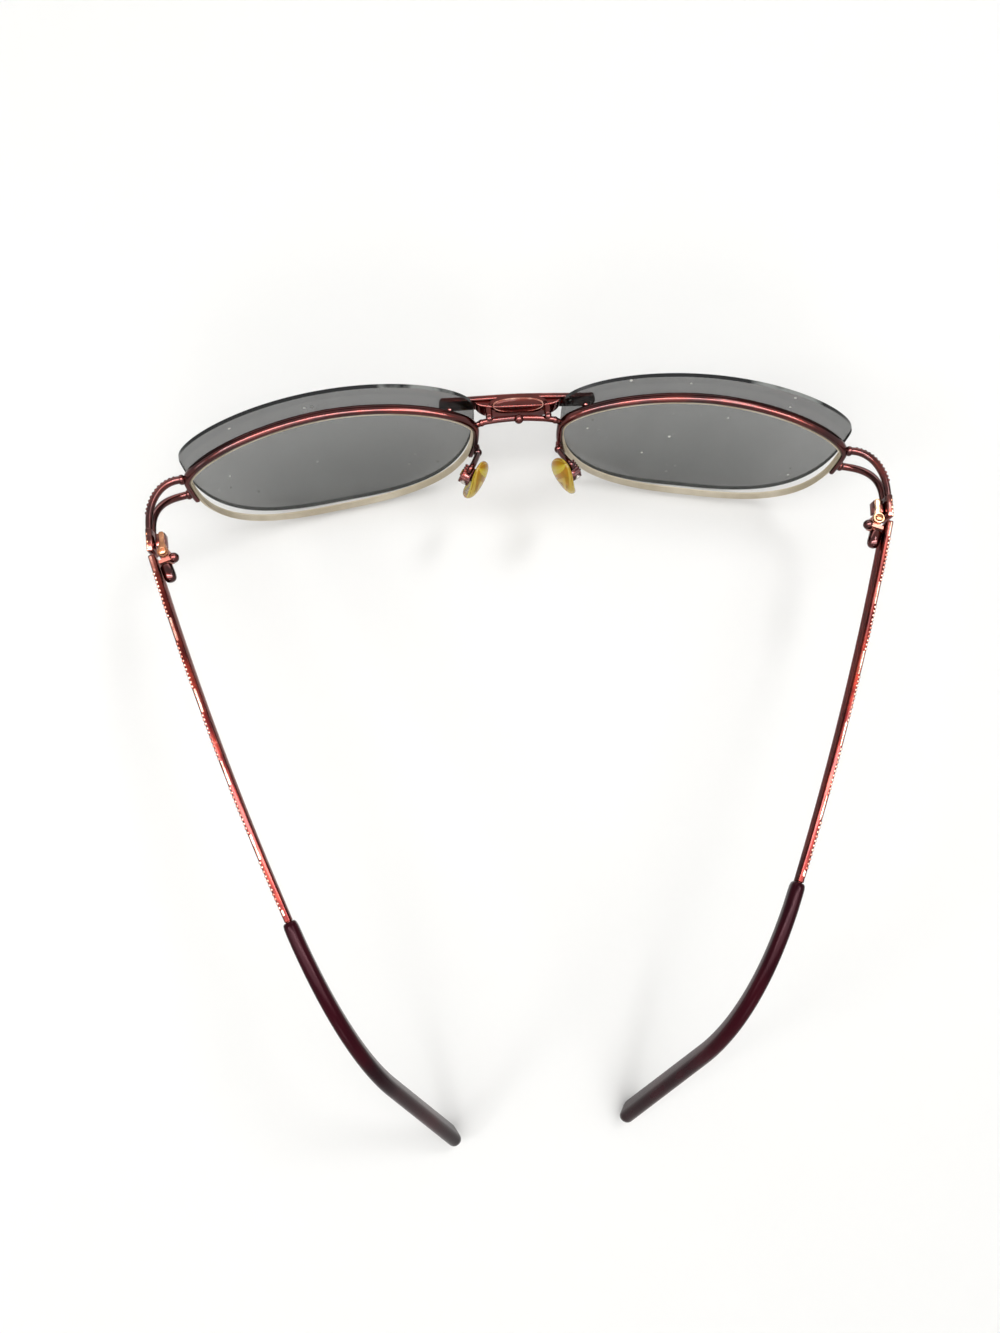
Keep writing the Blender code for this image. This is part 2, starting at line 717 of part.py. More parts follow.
def temple_line():
    """Centre line of the temple from the butt to the end of its tip."""
    def bar_point(y):
        share = y / temple_bend
        return Vector((bar_centre * (1.0 - share) + 4.0 * temple_bow * share * (1.0 - share), y, 0.0))

    corner = Vector((0.0, temple_bend, 0.0))
    straight_end = temple_bend - bend_reach
    points = [bar_point(straight_end * step / bar_stations) for step in range(bar_stations + 1)]
    before, after = points[-1], corner + tip_direction * bend_reach
    for step in range(1, bend_stations + 1):
        t = step / bend_stations
        points.append(before * (1 - t) ** 2 + corner * 2 * t * (1 - t) + after * t * t)
    end = corner + tip_direction * temple_drop_length
    points += [after.lerp(end, step / tip_stations) for step in range(1, tip_stations + 1)]
    return points


class Rail:
    """Places along the temple's centre line, by distance from the hinge."""

    def __init__(self, points):
        self.points = points
        self.run = [0.0]
        for here, there in zip(points, points[1:]):
            self.run.append(self.run[-1] + (there - here).length)
        self.length = self.run[-1]

    def at(self, distance):
        index = 0
        while index < len(self.run) - 2 and self.run[index + 1] < distance:
            index += 1
        share = (distance - self.run[index]) / (self.run[index + 1] - self.run[index])
        here, there = self.points[index], self.points[index + 1]
        return here.lerp(there, share), (there - here).normalized()

    def section(self, distance, thickness, height, corner_share=bar_corner_share):
        """A soft-cornered section square to the line."""
        place, along = self.at(distance)
        across = Vector((along.y, -along.x, 0.0)).normalized()
        up = across.cross(along)
        x, z = thickness / 2.0, height / 2.0
        cut_x, cut_z = x * (1.0 - corner_share), z * (1.0 - corner_share * thickness / height)
        corners = [(x, -cut_z), (x, cut_z), (cut_x, z), (-cut_x, z), (-x, cut_z), (-x, -cut_z), (-cut_x, -z),
                   (cut_x, -z)]
        return [place + across * a + up * b for a, b in corners]


rail = Rail(temple_line())
bar_taper_shares = (0.0, 0.04, 0.12, 0.22, 0.34, 0.46, 0.58, 0.7, 0.82, 0.92, 1.0)
core_shares = (0.0, 0.1, 0.2, 0.3, 0.4, 0.5, 0.6, 0.7, 0.85, 1.0)
sleeve_shares = (0.0, 0.03, 0.1, 0.18, 0.26, 0.34, 0.42, 0.5, 0.6, 0.72, 0.86, 1.0)
tip_round_shares = ((0.5, 0.92), (0.85, 0.68), (1.0, 0.4))


def make_temple(hand, side, flex):
    """The metal bar with its core wire, and the plastic tip over the core."""
    start = butt_gap / 2.0
    rings = []
    for share in bar_taper_shares:
        thickness = bar_thickness + (bar_end_thickness - bar_thickness) * share
        height = bar_height + (bar_end_height - bar_height) * share
        rings.append(rail.section(start + (sleeve_start - start) * share, thickness, height))
    core_start, core_end = sleeve_start + seat_gap / 2.0, rail.length - core_margin
    for share in core_shares:
        rings.append(rail.section(core_start + (core_end - core_start) * share, core_thickness, core_height))
    piece(hand + "_temple_bar", loft(rings, "bar"), "wine_metal", flex, side)

    near, far = sleeve_start + seat_gap, rail.length - tip_round
    rings = []
    for share in sleeve_shares:
        lip = lip_share if share == 0.0 else 1.0
        thickness = (sleeve_thickness + (tip_thickness - sleeve_thickness) * share) * lip
        height = (sleeve_height + (tip_height - sleeve_height) * share) * lip
        rings.append(rail.section(near + (far - near) * share, thickness, height, tip_corner_share))
    for reach_share, size_share in tip_round_shares:
        rings.append(rail.section(far + tip_round * reach_share, tip_thickness * size_share,
                                  tip_height * size_share, tip_corner_share))
    tip = piece(hand + "_temple_tip", loft(rings, "tip"), "tip_acetate", flex, side)
    bore_start, bore_end = sleeve_start - overrun, core_end + seat_gap
    bore = [rail.section(bore_start + (bore_end - bore_start) * share, core_thickness + 2.0 * seat_gap,
                         core_height + 2.0 * seat_gap) for share in core_shares]
    combine(tip, "DIFFERENCE", tool(hand + "_tip_bore", loft(bore, "bore"), flex, side))


lift_up = Vector((0.0, -math.sin(lens_tilt), math.cos(lens_tilt)))
clip_lens_matrix = lens_matrix @ Matrix.Translation((0.0, -clip_stand_off, 0.0))
lug_u = clip_lug_inset - clip_lens_width / 2.0
lug_front = -clip_lens_thickness / 2.0 - seat_gap - clip_bar_thickness / 2.0


def lug_point(u):
    return clip_lens_matrix @ Vector((u, sag(u, clip_lug_raise) + lug_front, clip_lug_raise))


def clip_bar_line():
    """Left half of the clip's bar, from the lug's end to the middle."""
    end, lug, inner = (lug_point(lug_u + share * clip_lug_length) for share in (0.5, 0.0, -0.5))
    middle = Vector((0.0, inner.y, inner.z + clip_bar_rise))
    third = Vector((inner.x / 3.0, 0.0, 0.0))
    return [end, lug] + bezier(inner, inner * 2.0 - lug, middle + third, middle, sweep_stations)


def clip_bar_mesh():
    half_line = clip_bar_line()
    line = half_line + [Vector((-point.x, point.y, point.z)) for point in reversed(half_line[:-1])]
    rings = []
    for index, point in enumerate(line):
        before, after = line[max(index - 1, 0)], line[min(index + 1, len(line) - 1)]
        forward = (after - before).normalized().cross(lift_up).normalized()
        lug_share = min(abs(point.x) / half_line[2].x, 1.0)
        high = (clip_bar_height + (clip_lug_height - clip_bar_height) * lug_share) / 2.0
        deep = clip_bar_thickness / 2.0
        soft = clip_bar_soft_share * deep
        ring = [(deep, soft - high), (deep, high - soft), (deep - soft, high), (soft - deep, high),
                (-deep, high - soft), (-deep, soft - high), (soft - deep, -high), (deep - soft, -high)]
        rings.append([point + forward * a + lift_up * b for a, b in ring])
    return loft(rings, "clip_bar")


def oval(width, height, near, far, name):
    """A flat oval that faces back, between two depths of the plaque's frame."""
    shape = bmesh.new()
    placing = (Matrix.Translation((0.0, (near + far) / 2.0, 0.0)) @ Matrix.Rotation(math.pi / 2.0, 4, "X")
               @ Matrix.Diagonal((width / 2.0, height / 2.0, 1.0, 1.0)))
    bmesh.ops.create_cone(shape, cap_ends=True, segments=plaque_segments, radius1=1.0, radius2=1.0,
                          depth=abs(far - near), matrix=placing)
    return to_mesh(shape, name)


def make_clip_middle(clip):
    piece("clip_bar", clip_bar_mesh(), "wine_metal", clip)
    middle = clip_bar_line()[-1] + lift_up * plaque_raise
    face = clip_bar_thickness / 2.0 + seat_gap
    plaque_frame = frame("clip_plaque_frame", clip, middle, (lens_tilt, 0.0, 0.0))
    plaque = piece("clip_plaque", oval(plaque_width, plaque_height, face, face + plaque_thickness, "plaque"),
                   "wine_metal", plaque_frame)
    floor = face + plaque_thickness - magnet_thickness - slip_gap
    inner_width, inner_height = plaque_width - 2.0 * plaque_border, plaque_height - 2.0 * plaque_border
    recess = oval(inner_width, inner_height, floor, face + plaque_thickness + overrun, "recess")
    combine(plaque, "DIFFERENCE", tool("plaque_recess", recess, plaque_frame))
    magnet = oval(inner_width - 2.0 * slip_gap, inner_height - 2.0 * slip_gap, floor + slip_gap,
                  floor + slip_gap + magnet_thickness, "magnet")
    piece("clip_magnet", magnet, "wine_metal", plaque_frame)


def make_clip_hook(hand, side, clip):
    """A claw that leaves the bar's back and curls over the frame's bridge."""
    bar = min(clip_bar_line(), key=lambda point: abs(point.x - hook_offset))
    back = Vector((0.0, math.cos(lens_tilt), math.sin(lens_tilt)))
    start = Vector((hook_offset, bar.y, bar.z)) + back * (clip_bar_thickness / 2.0 + seat_gap)
    centre = bridge_centre(hook_offset)
    ring = bridge_radius + seat_gap + hook_radius
    curl = []
    for step in range(hook_stations):
        turn = hook_first_angle + (lift_lean - hook_first_angle) * step / (hook_stations - 1)
        curl.append(centre + Vector((0.0, math.cos(turn), math.sin(turn))) * ring)
    tail = curl[-1] + Vector((0.0, math.sin(lift_lean), -math.cos(lift_lean))) * hook_tail
    lead = start + back * hook_radius
    wire(hand + "_clip_hook", [start, lead] + curl + [tail], hook_radius, "wine_metal", clip, side)


def make_clip_lens(hand, side, carrier):
    lens = solid_lens(hand + "_clip_lens", clip_outline, clip_lens_thickness, "tinted_lens", carrier, side)
    deep = sag(lug_u, clip_lug_raise)
    slope_room = joint_gap + rivet_head_radius * abs(lug_u) / lens_curve_radius
    back = deep + clip_lens_thickness / 2.0 + slope_room
    front = deep + lug_front - clip_bar_thickness / 2.0 - slope_room
    long = rod((lug_u, front - overrun, clip_lug_raise), (lug_u, back + overrun, clip_lug_raise),
               rivet_radius + joint_gap, name="hole")
    hole = tool(hand + "_rivet_hole", long, carrier, side)
    combine(lens, "DIFFERENCE", hole)
    combine(bpy.data.objects["clip_bar"], "DIFFERENCE", hole)
    inside = rivet_head_height / 2.0
    shank = rod((lug_u, front - inside, clip_lug_raise), (lug_u, back + inside, clip_lug_raise),
                rivet_radius, rivet_segments)
    rivet = piece(hand + "_clip_rivet", shank, "wine_metal", carrier, side)
    heads = {"front": (front - rivet_head_height, front), "back": (back, back + rivet_head_height)}
    for label, (near, far) in heads.items():
        head = rod((lug_u, near, clip_lug_raise), (lug_u, far, clip_lug_raise), rivet_head_radius)
        combine(rivet, "UNION", tool(hand + "_rivet_" + label, head, carrier, side))


def world_points(things):
    graph = bpy.context.evaluated_depsgraph_get()
    points = []
    for thing in things:
        solid = thing.evaluated_get(graph)
        mesh = solid.to_mesh()
        points += [solid.matrix_world @ vert.co for vert in mesh.vertices]
        solid.to_mesh_clear()
    return points


def set_down(worn):
    """Pitch the object until lenses and tips touch one floor, and centre it."""
    things = [item for item in part_collection.objects if item.type != "EMPTY"]
    bpy.context.view_layer.update()
    front = world_points([item for item in things if "lens" in item.name or "cord" in item.name])
    back = world_points([item for item in things if "tip" in item.name])

    def lowest(points, angle):
        return min(point.y * math.sin(angle) + point.z * math.cos(angle) for point in points)

    low, high = 0.0, math.pi / 4.0
    for _ in range(set_down_steps):
        angle = (low + high) / 2.0
        if lowest(back, angle) < lowest(front, angle):
            low = angle
        else:
            high = angle
    worn.rotation_euler = (angle, 0.0, 0.0)
    bpy.context.view_layer.update()
    points = world_points(things)
    lows = [min(point[axis] for point in points) for axis in range(3)]
    highs = [max(point[axis] for point in points) for axis in range(3)]
    worn.location = (-(lows[0] + highs[0]) / 2.0, -(lows[1] + highs[1]) / 2.0, -lows[2])
    bpy.context.view_layer.update()


def build_glasses():
    worn = frame("worn_frame", None)
    clip = frame("clip_frame", worn)
    make_bridge(worn)
    make_clip_middle(clip)
    for hand, side in SIDES.items():
        lens_turn = (lens_tilt, 0.0, side * lens_wrap)
        carrier = frame(hand + "_lens_frame", worn, (side * lens_place.x, lens_place.y, lens_place.z),
                        lens_turn)
        make_lenses(hand, side, carrier)
        make_nose_pad(hand, side, worn)
        hinge = frame(hand + "_hinge_frame", worn, (side * hinge_place.x, hinge_place.y, hinge_place.z),
                      (0.0, 0.0, side * open_inward))
        make_endpiece(hand, side, hinge)
        make_front_hinge(hand, side, hinge)
        fold = frame(hand + "_fold", hinge, turn=(0.0, 0.0, side * rest_fold[hand]))
        make_carriage(hand, side, fold)
        flex = frame(hand + "_flex", fold)
        make_housing(hand, side, flex)
        make_temple(hand, side, flex)
        clip_place = clip_lens_matrix.translation
        clip_carrier = frame(hand + "_clip_lens_frame", clip,
                             (side * clip_place.x, clip_place.y, clip_place.z), lens_turn)
        make_clip_lens(hand, side, clip_carrier)
        make_clip_hook(hand, side, clip)
    set_down(worn)


clear_scene()
part_collection = new_collection("glasses_with_clip_on_lenses")
tool_collection = new_collection("cutters")
build_glasses()
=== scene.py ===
# Semi-rimless glasses with clip-on tinted lenses: the looks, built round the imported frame.
# Shapes are worked out in mm in the worn frame (x wearer's left, y back, z up), on the left side,
# then mirrored for the right side and set down on the table in metres.

import json
from bisect import bisect_left
from functools import partialmethod, reduce
from math import atan2, copysign, cos, hypot, inf, pi, radians, sin, sqrt

import bmesh
import bpy
from mathutils import Matrix, Vector

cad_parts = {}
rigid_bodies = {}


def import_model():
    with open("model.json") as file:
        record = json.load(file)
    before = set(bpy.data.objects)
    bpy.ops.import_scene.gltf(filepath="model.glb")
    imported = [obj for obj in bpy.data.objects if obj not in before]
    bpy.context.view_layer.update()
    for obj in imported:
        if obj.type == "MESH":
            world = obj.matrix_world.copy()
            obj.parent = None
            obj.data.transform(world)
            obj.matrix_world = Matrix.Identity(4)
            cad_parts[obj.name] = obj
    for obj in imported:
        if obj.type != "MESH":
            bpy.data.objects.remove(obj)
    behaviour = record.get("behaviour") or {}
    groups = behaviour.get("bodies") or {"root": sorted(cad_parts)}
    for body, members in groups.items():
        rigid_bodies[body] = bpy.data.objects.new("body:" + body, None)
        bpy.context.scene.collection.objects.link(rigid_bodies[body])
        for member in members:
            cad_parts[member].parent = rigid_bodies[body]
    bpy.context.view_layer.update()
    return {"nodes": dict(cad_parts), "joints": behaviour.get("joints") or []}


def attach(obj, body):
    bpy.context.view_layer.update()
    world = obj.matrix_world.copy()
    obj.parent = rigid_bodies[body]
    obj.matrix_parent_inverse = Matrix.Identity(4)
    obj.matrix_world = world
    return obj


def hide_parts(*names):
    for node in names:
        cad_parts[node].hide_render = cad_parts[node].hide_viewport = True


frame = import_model()
leftFold = next(joint for joint in frame["joints"] if joint["name"] == "left_fold")
sides = {"left": 1, "right": -1}
scene = bpy.context.scene
mm = 0.001
print("frame loaded:", len(frame["nodes"]), "nodes")

clearLens = {"width": 51.0, "rise": 8.1, "drop": 19.0, "powers": (1.8, 2.4), "lift": 0.0, "lean": 1.4,
             "thickness": 1.5, "chamfer": 0.14, "band": 0.2, "ground": 1, "curve": 120.0, "meanEdge": 18.87,
             "x": 33.7, "z": 2.4, "wrap": 8.8, "tilt": 9.5}
tintedLens = {"width": 52.5, "rise": 8.2, "drop": 23.6, "powers": (1.99, 2.59), "lift": 3.6, "lean": 0.0,
              "thickness": 1.0, "chamfer": 0.1, "band": 0.5, "ground": 0, "standOff": 2.6}
hinge = {"outset": 3.9, "setback": 13.9, "lift": 1.8, "inward": 5.0, "fold": {"left": 14.2, "right": 16.4}}


def superPower(value, power):
    return copysign(abs(value) ** power, value)


def evenly(start, end, count):
    return [start + (end - start) * step / (count - 1) for step in range(count)]


def around(count):  # the cosines and sines of a whole turn
    turns = [2 * pi * step / count for step in range(count)]
    return [(cos(turn), sin(turn)) for turn in turns]


def edgePoint(outline, angle, grow=0.0):
    upper = sin(angle) >= 0.0
    height, power = (outline["rise"], outline["powers"][0]) if upper else (outline["drop"], outline["powers"][1])
    half = outline["width"] / 2
    u, v = half * superPower(cos(angle), 2 / power), height * superPower(sin(angle), 2 / power)
    normal = Vector((superPower(u / half, power - 1) / half, superPower(v / height, power - 1) / height))
    normal.normalize()
    shift = 0.0 if upper else outline["lean"] * (v / height) ** 2
    return u + shift + grow * normal.x, v + grow * normal.y + outline["lift"]


def runOf(spots):  # how far along the line each spot lies
    run = [0.0]
    for here, there in zip(spots, spots[1:]):
        run.append(run[-1] + (there - here).length)
    return run


def locate(run, distance):  # the stretch of the line that holds a distance, and the share of it
    index = min(max(bisect_left(run, distance) - 1, 0), len(run) - 2)
    return index, (distance - run[index]) / (run[index + 1] - run[index])


def evenAngles(outline, start, end, count):  # the angles of points evenly spaced along the edge
    fine = evenly(start, end, 1801)
    run, angles = runOf([Vector(edgePoint(outline, angle)) for angle in fine]), []
    for goal in evenly(0, run[-1], count):
        index, share = locate(run, goal)
        angles.append(fine[index] + (fine[index + 1] - fine[index]) * share)
    return angles


def walkEdge(outline, angle, distance, stride=0.25):  # the angle reached after a walk along the edge
    gone, step = 0.0, copysign(radians(stride), distance)
    while gone < abs(distance):
        here = Vector(edgePoint(outline, angle))
        angle += step
        gone += (Vector(edgePoint(outline, angle)) - here).length
    return angle


def sag(u, v):  # how far the curved lens lies behind its plane
    return (u * u + v * v - clearLens["meanEdge"] ** 2) / (2 * clearLens["curve"])


def turned(degrees, axis):
    return Matrix.Rotation(radians(degrees), 4, axis)


moved = Matrix.Translation
lensTilt = turned(clearLens["tilt"], "X")
lensFrame = moved((clearLens["x"], 0, clearLens["z"])) @ turned(clearLens["wrap"], "Z") @ lensTilt
clipFrame = lensFrame @ moved((0, -tintedLens["standOff"], 0))
liftUp, liftBack = (lensTilt @ Vector(way) for way in ((0, 0, 1), (0, 1, 0)))


def besideEdge(angle, grow=0.0, depth=0.0):  # a place beside the clear lens's edge, in the lens's frame
    u, v = edgePoint(clearLens, angle, grow)
    return Vector((u, sag(*edgePoint(clearLens, angle)) + depth, v))


def onLens(angle, grow=0.0, depth=0.0):
    return lensFrame @ besideEdge(angle, grow, depth)


hingeAt = onLens(0.0) + Vector((hinge["outset"], hinge["setback"], hinge["lift"]))
hingeFrame = moved(hingeAt) @ turned(hinge["inward"], "Z")
foldFrames = {hand: hingeFrame @ turned(angle, "Z") for hand, angle in hinge["fold"].items()}

# The way it rests on the table comes from the left hinge: its axis is the worn frame's z
upward = Vector(leftFold["axis"])
lean = Matrix.Rotation(atan2(-upward.y, upward.z), 4, "X")
restPlace = Vector(leftFold["pos_m"]) - lean @ (hingeAt * mm)
glassesToTable = moved(restPlace) @ lean @ Matrix.Scale(mm, 4)
worn = Matrix.Identity(4)
mirror = {1: worn, -1: Matrix.Scale(-1, 4, (1, 0, 0))}


def tableSpot(point, side=1):
    return glassesToTable @ mirror[side] @ Vector(point)


class Signal:  # a node's output, reckoned with by adding math nodes
    def __init__(self, maker, socket):
        self.maker, self.socket = maker, socket

    def reckon(self, operation, other=0.0):
        return self.maker.node("ShaderNodeMath", {0: self, 1: other}, operation=operation)

    def __rsub__(self, other):
        return self.maker.node("ShaderNodeMath", {0: other, 1: self}, operation="SUBTRACT")

    def rise(self, low, high):  # 0 below low, 1 above high, smooth between
        return self.maker.node("ShaderNodeMapRange", {"Value": self, "From Min": low, "From Max": high},
                               interpolation_type="SMOOTHSTEP")

    __add__ = __radd__ = partialmethod(reckon, "ADD")
    __sub__ = partialmethod(reckon, "SUBTRACT")
    __mul__ = partialmethod(reckon, "MULTIPLY")
    __pow__ = partialmethod(reckon, "POWER")
    __abs__ = partialmethod(reckon, "ABSOLUTE")
    sine = partialmethod(reckon, "SINE")
    most = partialmethod(reckon, "MAXIMUM")
    least = partialmethod(reckon, "MINIMUM")


def pick(sockets, key):
    if isinstance(key, int):
        return sockets[key]
    return next(socket for socket in sockets if key in (socket.identifier, socket.name))


class Maker:
    def __init__(self, tree):
        self.tree = tree

    def node(self, kind, inputs=None, output=0, **settings):
        made = self.tree.nodes.new(kind)
        row, column = divmod(len(self.tree.nodes), 12)
        made.location = (200 * column, -220 * row)
        for key, value in settings.items():
            setattr(made, key, value)
        for key, value in (inputs or {}).items():
            if isinstance(value, Signal):
                self.tree.links.new(value.socket, pick(made.inputs, key))
            else:
                pick(made.inputs, key).default_value = value
        return Signal(self, pick(made.outputs, output)) if made.outputs else made

    def where(self):
        return self.node("ShaderNodeTexCoord", output="Object")

    def noise(self, scale, detail=3.0, stretch=None, rough=0.5):
        place = self.where()
        if stretch:
            place = self.node("ShaderNodeMapping", {"Vector": place, "Scale": stretch})
        return self.node("ShaderNodeTexNoise", {"Vector": place, "Scale": scale, "Detail": detail,
                                                "Roughness": rough}, "Fac")

    def nearTo(self, points, full, gone):  # 1 within full of any of the points, 0 past gone, in mm
        gaps = [self.node("ShaderNodeVectorMath", {0: self.where(), 1: tuple(point)}, "Value",
                          operation="DISTANCE") for point in points]
        return 1 - reduce(Signal.least, gaps).rise(full * mm, gone * mm)

    def follow(self, name):
        return self.node("ShaderNodeAttribute", output="Fac", attribute_name=name)

    def blend(self, share, *colours):
        first, second = (colour if isinstance(colour, Signal) else (*colour, 1) for colour in colours)
        return self.node("ShaderNodeMix", {"Factor_Float": share, "A_Color": first, "B_Color": second},
                         "Result_Color", data_type="RGBA")

    def look(self, colour, roughness, height=None, depth=0.02, strength=0.5, **more):
        if height is not None:
            more["Normal"] = self.node("ShaderNodeBump", {"Height": height, "Distance": depth * mm,
                                                          "Strength": strength})
        return {"Base Color": colour, "Roughness": roughness, **more}


def newFinish(name, build, **fixed):
    material = bpy.data.materials.new(name)
    material.use_nodes = True
    material.node_tree.nodes.clear()
    maker = Maker(material.node_tree)
    inputs = {key.replace("_", " "): value for key, value in fixed.items()}
    shader = maker.node("ShaderNodeBsdfPrincipled", {**inputs, **build(maker)})
    maker.node("ShaderNodeOutputMaterial", {"Surface": shader})
    return material


hingeSpots = [tableSpot(hingeAt, side) for side in sides.values()]
winePlating = {"deep": (0.032, 0.0030, 0.0030), "bright": (0.090, 0.011, 0.007), "worn": (0.34, 0.11, 0.085),
               "patch": 170.0, "roughness": (0.12, 0.24), "rub": 0.3, "hingeReach": (1.5, 6.5)}
engraving = {"border": 0.74, "wave": 0.46, "waveRate": 0.78, "begin": (3.0, 5.0), "end": (60.0, 63.0),
             "paint": 0.75, "height": 2.2}


def wineLook(maker, hingeWear=0.0, engraved=False):
    cloud = maker.noise(winePlating["patch"], 4.0)
    grain = maker.noise(2600.0, 2.0)
    colour = maker.blend(cloud.rise(0.36, 0.66), winePlating["deep"], winePlating["bright"])
    rub = maker.noise(620.0, 5.0, rough=0.7).rise(0.62, 0.76) * winePlating["rub"]
    if hingeWear:
        near = maker.nearTo(hingeSpots, *winePlating["hingeReach"])
        rub = rub.most(near * hingeWear * maker.noise(900.0).rise(0.30, 0.62))
    colour = maker.blend(rub, colour, winePlating["worn"])
    low, high = winePlating["roughness"]
    roughness = cloud * (high - low) + low + grain * 0.05
    height = grain * 0.10 + maker.noise(700.0) * 0.35
    if engraved:  # a border line and a wave along the temple bar
        along, rise = maker.follow("along"), maker.follow("rise")
        line = abs(abs(rise) - engraving["border"]).rise(0.03, 0.09)
        leaf = abs(rise) - abs((along * engraving["waveRate"]).sine()) * engraving["wave"]
        cut = line.least(abs(leaf).rise(0.03, 0.12))
        cut = 1 - (1 - cut) * along.rise(*engraving["begin"]) * (1 - along.rise(*engraving["end"]))
        colour = maker.blend((1 - cut) * engraving["paint"], colour, winePlating["worn"])
        height = height + cut * engraving["height"]
    return maker.look(colour, roughness, height, 0.03, 0.6)


def steelLook(maker):
    streak = maker.noise(900.0, stretch=(1.0, 4.0, 1.0))
    colour = maker.blend(streak, (0.36, 0.33, 0.31), (0.62, 0.58, 0.54))
    return maker.look(colour, streak * 0.2 + 0.2, streak, 0.02, 0.4)


def dust(maker, scale, low, high):
    cells = maker.node("ShaderNodeTexVoronoi", {"Vector": maker.where(), "Scale": scale, "Randomness": 1.0},
                       "Distance")
    return (1 - cells.rise(low, high)) * maker.noise(scale * 0.37, 2.0).rise(0.56, 0.60)


def clearLook(maker):
    graze = maker.node("ShaderNodeLayerWeight", {"Blend": 0.25}, "Facing")
    smear = maker.noise(70.0, 5.0, stretch=(1.0, 1.0, 0.35), rough=0.65).rise(0.48, 0.8)
    specks = dust(maker, 420.0, 0.03, 0.06)
    # alpha rises at grazing angles so the pale base colour shows there: a painted reflection along the lens's
    # grazing parts
    alpha = 0.035 + graze ** 3 * 0.35 + smear * 0.045 + specks * 0.35
    colour = maker.blend(specks, (0.70, 0.73, 0.70), (0.95, 0.95, 0.92))
    return maker.look(colour, smear * 0.12 + 0.03, Alpha=alpha.least(1.0))


def tintLook(maker):
    graze = maker.node("ShaderNodeLayerWeight", {"Blend": 0.2}, "Facing")
    streak = maker.noise(190.0, 4.0, stretch=(1.0, 0.06, 0.06), rough=0.6).rise(0.5, 0.78)
    specks = dust(maker, 430.0, 0.09, 0.15)
    colour = maker.blend(streak * 0.5, (0.004, 0.0045, 0.0045), (0.04, 0.042, 0.041))
    colour = maker.blend(specks * 0.9, colour, (0.7, 0.7, 0.66))
    alpha = 0.50 + graze ** 2 * 0.12 + streak * 0.02 + specks * 0.4
    return maker.look(colour, streak * 0.1 + 0.04, Alpha=alpha.least(1.0))


def frostLook(maker):
    grind = maker.noise(1500.0, 4.0, rough=0.7)
    colour = maker.blend(maker.noise(120.0).rise(0.35, 0.65), (0.50, 0.42, 0.29), (0.68, 0.60, 0.46))
    return maker.look(colour, grind * 0.2 + 0.45, grind, 0.03)


topEdge = [edgePoint(tintedLens, angle) for angle in evenly(0, pi, 401)]
scuffs = []
for side, places in ((-1, (8.0, 11.0, 14.0, 17.0)), (1, (-12.0, -15.0, -18.0, -21.0))):
    for place in places:
        u, v = min(topEdge, key=lambda spot: abs(spot[0] - place))
        scuffs.append(tableSpot(clipFrame @ Vector((u, sag(u, v), v)), side))


def tintEdgeLook(maker):
    grind = maker.noise(1500.0, 4.0, rough=0.7)
    scuffed = maker.nearTo(scuffs, 1.2, 2.6) * maker.noise(260.0).rise(0.30, 0.55)
    colour = maker.blend(scuffed, (0.009, 0.010, 0.010), (0.22, 0.23, 0.22))
    return maker.look(colour, scuffed * 0.4 + 0.25, grind)


def nylonLook(maker):
    shade = maker.noise(160.0)
    colour = maker.blend(shade, (0.42, 0.33, 0.20), (0.62, 0.54, 0.40))
    return maker.look(colour, shade * 0.2 + 0.3)


def padLook(maker):
    flow = maker.noise(260.0, 4.0, rough=0.6)
    rimShare, height = maker.follow("rimShare"), maker.follow("height")
    amber = maker.blend(flow.rise(0.40, 0.62), (0.30, 0.165, 0.004), (0.44, 0.20, 0.008))
    colour = maker.blend(1 - (height + flow * 0.6).rise(-0.55, 0.25), amber, (0.56, 0.44, 0.03))
    ridge = rimShare.rise(0.79, 0.83) * (1 - rimShare.rise(0.88, 0.92))
    colour = maker.blend((ridge * 0.75).most(rimShare.rise(1.2, 1.4) * 0.8), colour, (0.55, 0.40, 0.06))
    return maker.look(colour, flow * 0.2 + 0.10, flow, 0.2, 0.7, Alpha=ridge * 0.04 + 0.955)


tipEnds = [tableSpot(foldFrames[hand] @ Vector((-9.0, 116.0, -44.0)), side) for hand, side in sides.items()]


def tipLook(maker):
    mottle = maker.noise(95.0, 4.0, stretch=(1.0, 0.35, 1.0))
    fade = maker.nearTo(tipEnds, 2.0, 22.0)
    colour = maker.blend(mottle.rise(0.3, 0.7), (0.010, 0.001, 0.003), (0.036, 0.002, 0.006))
    colour = maker.blend(fade * 0.6, colour, (0.009, 0.008, 0.008))
    fine = maker.noise(1300.0)
    return maker.look(colour, fine * 0.12 + 0.18, fine, 0.02, 0.4)


def newMetal(name, dark, bright, **given):
    def build(maker):
        colour = maker.blend(maker.noise(380.0, 4.0).rise(0.35, 0.65), dark, bright)
        grain = maker.noise(2200.0)
        return {**maker.look(colour, grain * 0.2 + 0.12, grain), **given}
    return newFinish(name, build, Metallic=1.0)


plated = {"Metallic": 1.0, "Coat_Weight": 0.6, "Coat_Roughness": 0.05, "Specular_Tint": (0.40, 0.14, 0.11, 1)}
barPlated = {**plated, "Coat_Weight": 0.15}
wine = newFinish("winePlating", wineLook, **plated)
wineWorn = newFinish("wineNearHinge", lambda maker: wineLook(maker, 0.6), **plated)
wineBar = newFinish("wineEngraved", lambda maker: wineLook(maker, 0.4, True), **barPlated)
rose = newMetal("paleRose", (0.44, 0.20, 0.11), (0.78, 0.50, 0.32))
# pale pink for the bar's beads and facets and the plaque's border: partly their own trim colour, partly a painted
# highlight along lit edges
pinkEdge = newMetal("pinkEdge", (0.36, 0.12, 0.09), (0.72, 0.40, 0.32))
dullRose = newMetal("dullRose", (0.26, 0.08, 0.06), (0.50, 0.22, 0.17), Roughness=0.5)
bronze = newMetal("screwBronze", (0.16, 0.065, 0.03), (0.42, 0.20, 0.11))
steel = newFinish("screwSteel", steelLook, Metallic=1.0)
clear = newFinish("clearLens", clearLook, IOR=1.5)
